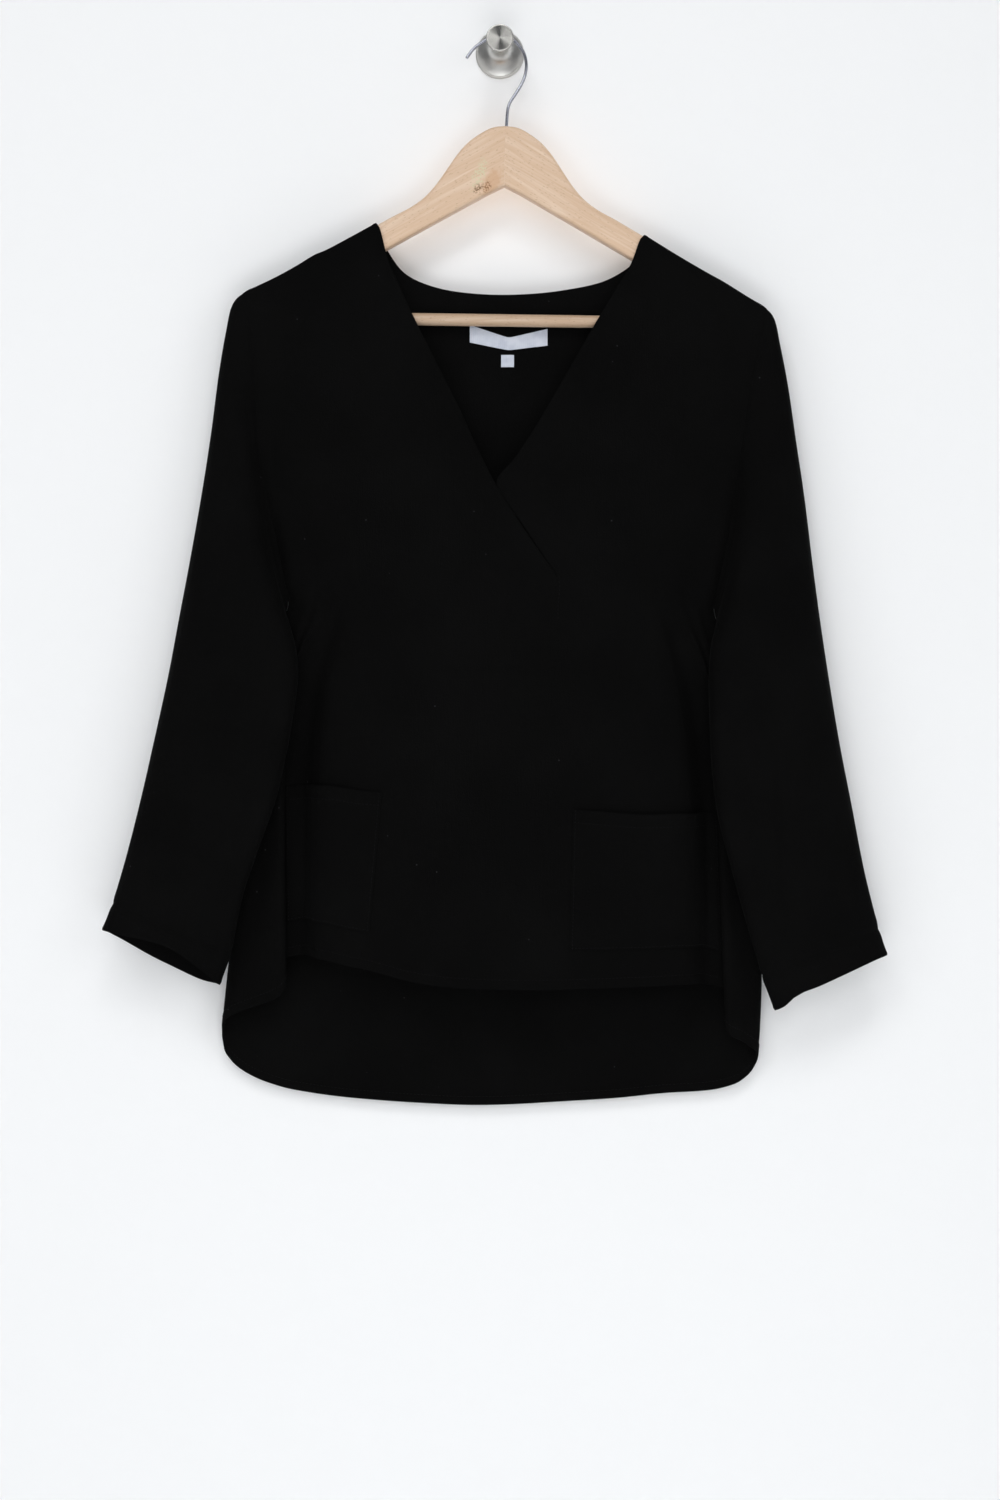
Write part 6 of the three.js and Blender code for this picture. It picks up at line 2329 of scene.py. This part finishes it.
@dataclass
class WallHook:
    """The steel wall hook: a flared plate with a neck, and a knob that tapers towards it."""

    finishes: Finishes
    plate_radius: float = 21.0
    plate_rim: float = 3.0
    neck_radius: float = 6.0
    neck_end: float = 34.5
    knob_radius: float = 11.7
    knob_from: float = 34.8
    knob_to: float = 50.0
    knob_rim: float = 2.0
    flare_length: float = 17.0
    flare_in: float = 1.5
    flare_power: float = 2.6
    plate_edge: float = 0.4
    rim_round: float = 1.4
    knob_foot: float = 0.3
    knob_taper: float = 2.2
    knob_lip: float = 0.6
    knob_round: float = 0.7
    sides: int = 128

    def build(self) -> None:
        """Builds and dresses the wall hook."""
        away = Vector((0, -1, 0))
        neck, flare_from = self.neck_radius, self.plate_rim + 1
        spread = self.plate_radius - self.flare_in - neck
        flare = [
            (neck + spread * (1 - t) ** self.flare_power, flare_from + t * self.flare_length)
            for t in np.linspace(0, 1, 26)
        ]
        turns = np.linspace(0, math.pi / 2, 6)
        arc, edge = self.rim_round, self.plate_edge
        rim_arc = [
            (self.plate_radius - arc * (1 - math.cos(turn)), self.plate_rim - arc + arc * math.sin(turn))
            for turn in turns
        ]
        plate = [
            (0, 0), (self.plate_radius - edge, 0), (self.plate_radius, edge), *rim_arc, *flare,
            (neck, self.neck_end), (0, self.neck_end),
        ]
        radius, rim, end = self.knob_radius, self.knob_rim, self.knob_to
        foot = neck + self.knob_foot
        lip, arc = self.knob_lip, self.knob_round
        taper = [
            (foot + (radius - lip - foot) * t**self.knob_taper, mix(self.knob_from + 0.8, end - rim, t))
            for t in np.linspace(0, 1, 14)
        ]
        knob = [
            (0, self.knob_from),
            (foot - 0.5, self.knob_from),
            *taper,
            (radius, end - rim + arc),
            (radius, end - arc),
            (radius - 0.2, end - 0.2),
            (radius - arc, end),
            *[(r, end) for r in np.linspace(radius - 1.6, lip, 9)],
            (0, end),
        ]
        # The knob takes the darker steel copy, painted shade.
        steel = self.finishes.steel, self.finishes.knob_steel
        for node, profile, finish in zip(("wall_plate", "wall_knob"), (plate, knob), steel):
            made = turned(f"{node}_steel", profile, away, np.zeros(3), finish, around=self.sides)
            dress(made, node)


# Each soft light: name, place, aim, side in metres and power in watts
LIGHTS = (
    ("key_left", (-0.9, -2.5, 1.5), (0, 0, -0.5), 1.1, 15.5),
    ("key_top", (0.3, -2.5, 2.1), (0, 0, -0.5), 0.9, 17),
    ("front_fill", (0.0, -3.0, -0.1), (0, 0, -0.6), 1.4, 17),
    ("fill_right", (1.9, -2.2, 0.0), (0, 0, -0.5), 1.3, 9),
    ("fill_left", (-1.9, -2.2, -0.3), (0, 0, -0.5), 1.3, 8),
    ("fill_low", (0.0, -2.1, -1.6), (0, 0, -0.35), 1.3, 18),
    ("behind_fill", (0.9, 2.3, 0.7), (0, 0, -0.5), 1.6, 70),
)


@dataclass
class Studio:
    """The pale wall and floor, the soft lights and the camera."""

    eye: tuple[float, float, float] = (0.0, -2.035, -0.601)
    focal_px: float = 2353.0
    frame_px: float = 1500.0
    sensor_mm: float = 36.0
    floor_z: float = -1.78
    wall_y: float = 0.0006
    wall_top: float = 2.2
    half_width: float = 4.0

    def plane(self, name: str, corners: Sequence[tuple[float, float, float]], paint: MattePaint) -> None:
        """A staged plane.

        Args:
            name: Its name.
            corners: Four corners in metres.
            paint: Its paint.
        """
        mesh = bpy.data.meshes.new(name)
        mesh.from_pydata(corners, [], [(0, 1, 2, 3)])
        mesh.materials.append(paint.material())
        in_scene(name, mesh)

    def light(self, name: str, at: tuple[float, float, float], aim: tuple[float, float, float], size: float,
              power: float) -> None:
        """A soft square white light.

        Args:
            name: Its name.
            at: Where it stands, in metres.
            aim: What it points at.
            size: Its side in metres.
            power: Power in watts.
        """
        lamp = bpy.data.lights.new(name, "AREA")
        lamp.shape = "SQUARE"
        lamp.size = size
        lamp.energy = power
        made = in_scene(name, lamp)
        made.location = at
        made.rotation_euler = (Vector(aim) - Vector(at)).to_track_quat("-Z", "Y").to_euler()

    def build(self) -> None:
        """Builds the studio."""
        wide, low, wall = self.half_width, self.floor_z, self.wall_y
        top = self.wall_top
        upright = [(x, wall, z) for x, z in ((-wide, low), (wide, low), (wide, top), (-wide, top))]
        level = [(x, y, low) for x, y in ((-wide, -wide), (wide, -wide), (wide, wide), (-wide, wide))]
        self.plane("studio_wall", upright, MattePaint("matte_white_wall", "#f2f3f4", one_sided=True))
        self.plane("studio_floor", level, MattePaint("matte_pale_floor", "#e4e5e6"))
        for values in LIGHTS:
            self.light(*values)
        self.world()
        camera = bpy.data.cameras.new("camera")
        camera.sensor_fit = "VERTICAL"
        camera.sensor_height = self.sensor_mm
        camera.lens = self.focal_px / self.frame_px * self.sensor_mm
        camera.clip_start = 0.05
        made = in_scene("camera", camera)
        made.location = self.eye
        made.rotation_euler = (math.pi / 2, 0, 0)
        bpy.context.scene.camera = made
        bpy.context.scene.view_settings.view_transform = "Standard"

    def world(self) -> None:
        """Soft surrounding light, brighter from above, so that metal has something to mirror."""
        world = bpy.data.worlds.new("studio_air")
        world.use_nodes = True
        tree = world.node_tree
        tree.nodes.clear()
        way = add_node(tree, "ShaderNodeTexCoord").outputs["Generated"]
        height = add_node(tree, "ShaderNodeSeparateXYZ", inputs={"Vector": way}).outputs["Z"]
        tone = add_node(tree, "ShaderNodeMapRange", inputs={
            "Value": height, "From Min": -0.35, "From Max": 0.8, "To Min": 0.0, "To Max": 1.0})
        colour = ramp(tree, tone.outputs["Result"], [(0.0, "#a4a5a8"), (0.3, "#4a4c50"), (0.75, "#d8dadd")])
        air = add_node(tree, "ShaderNodeBackground", inputs={"Color": colour, "Strength": 0.45})
        add_node(tree, "ShaderNodeOutputWorld", inputs={"Surface": air.outputs["Background"]})
        bpy.context.scene.world = world


def main() -> None:
    """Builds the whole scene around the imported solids."""
    logging.basicConfig(level=logging.INFO, format="%(name)s: %(message)s")
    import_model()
    finishes = Finishes.make()
    WallHook(finishes).build()
    Hanger(finishes).build()
    Garment(finishes).build()
    Studio().build()


if __name__ == "__main__":
    main()
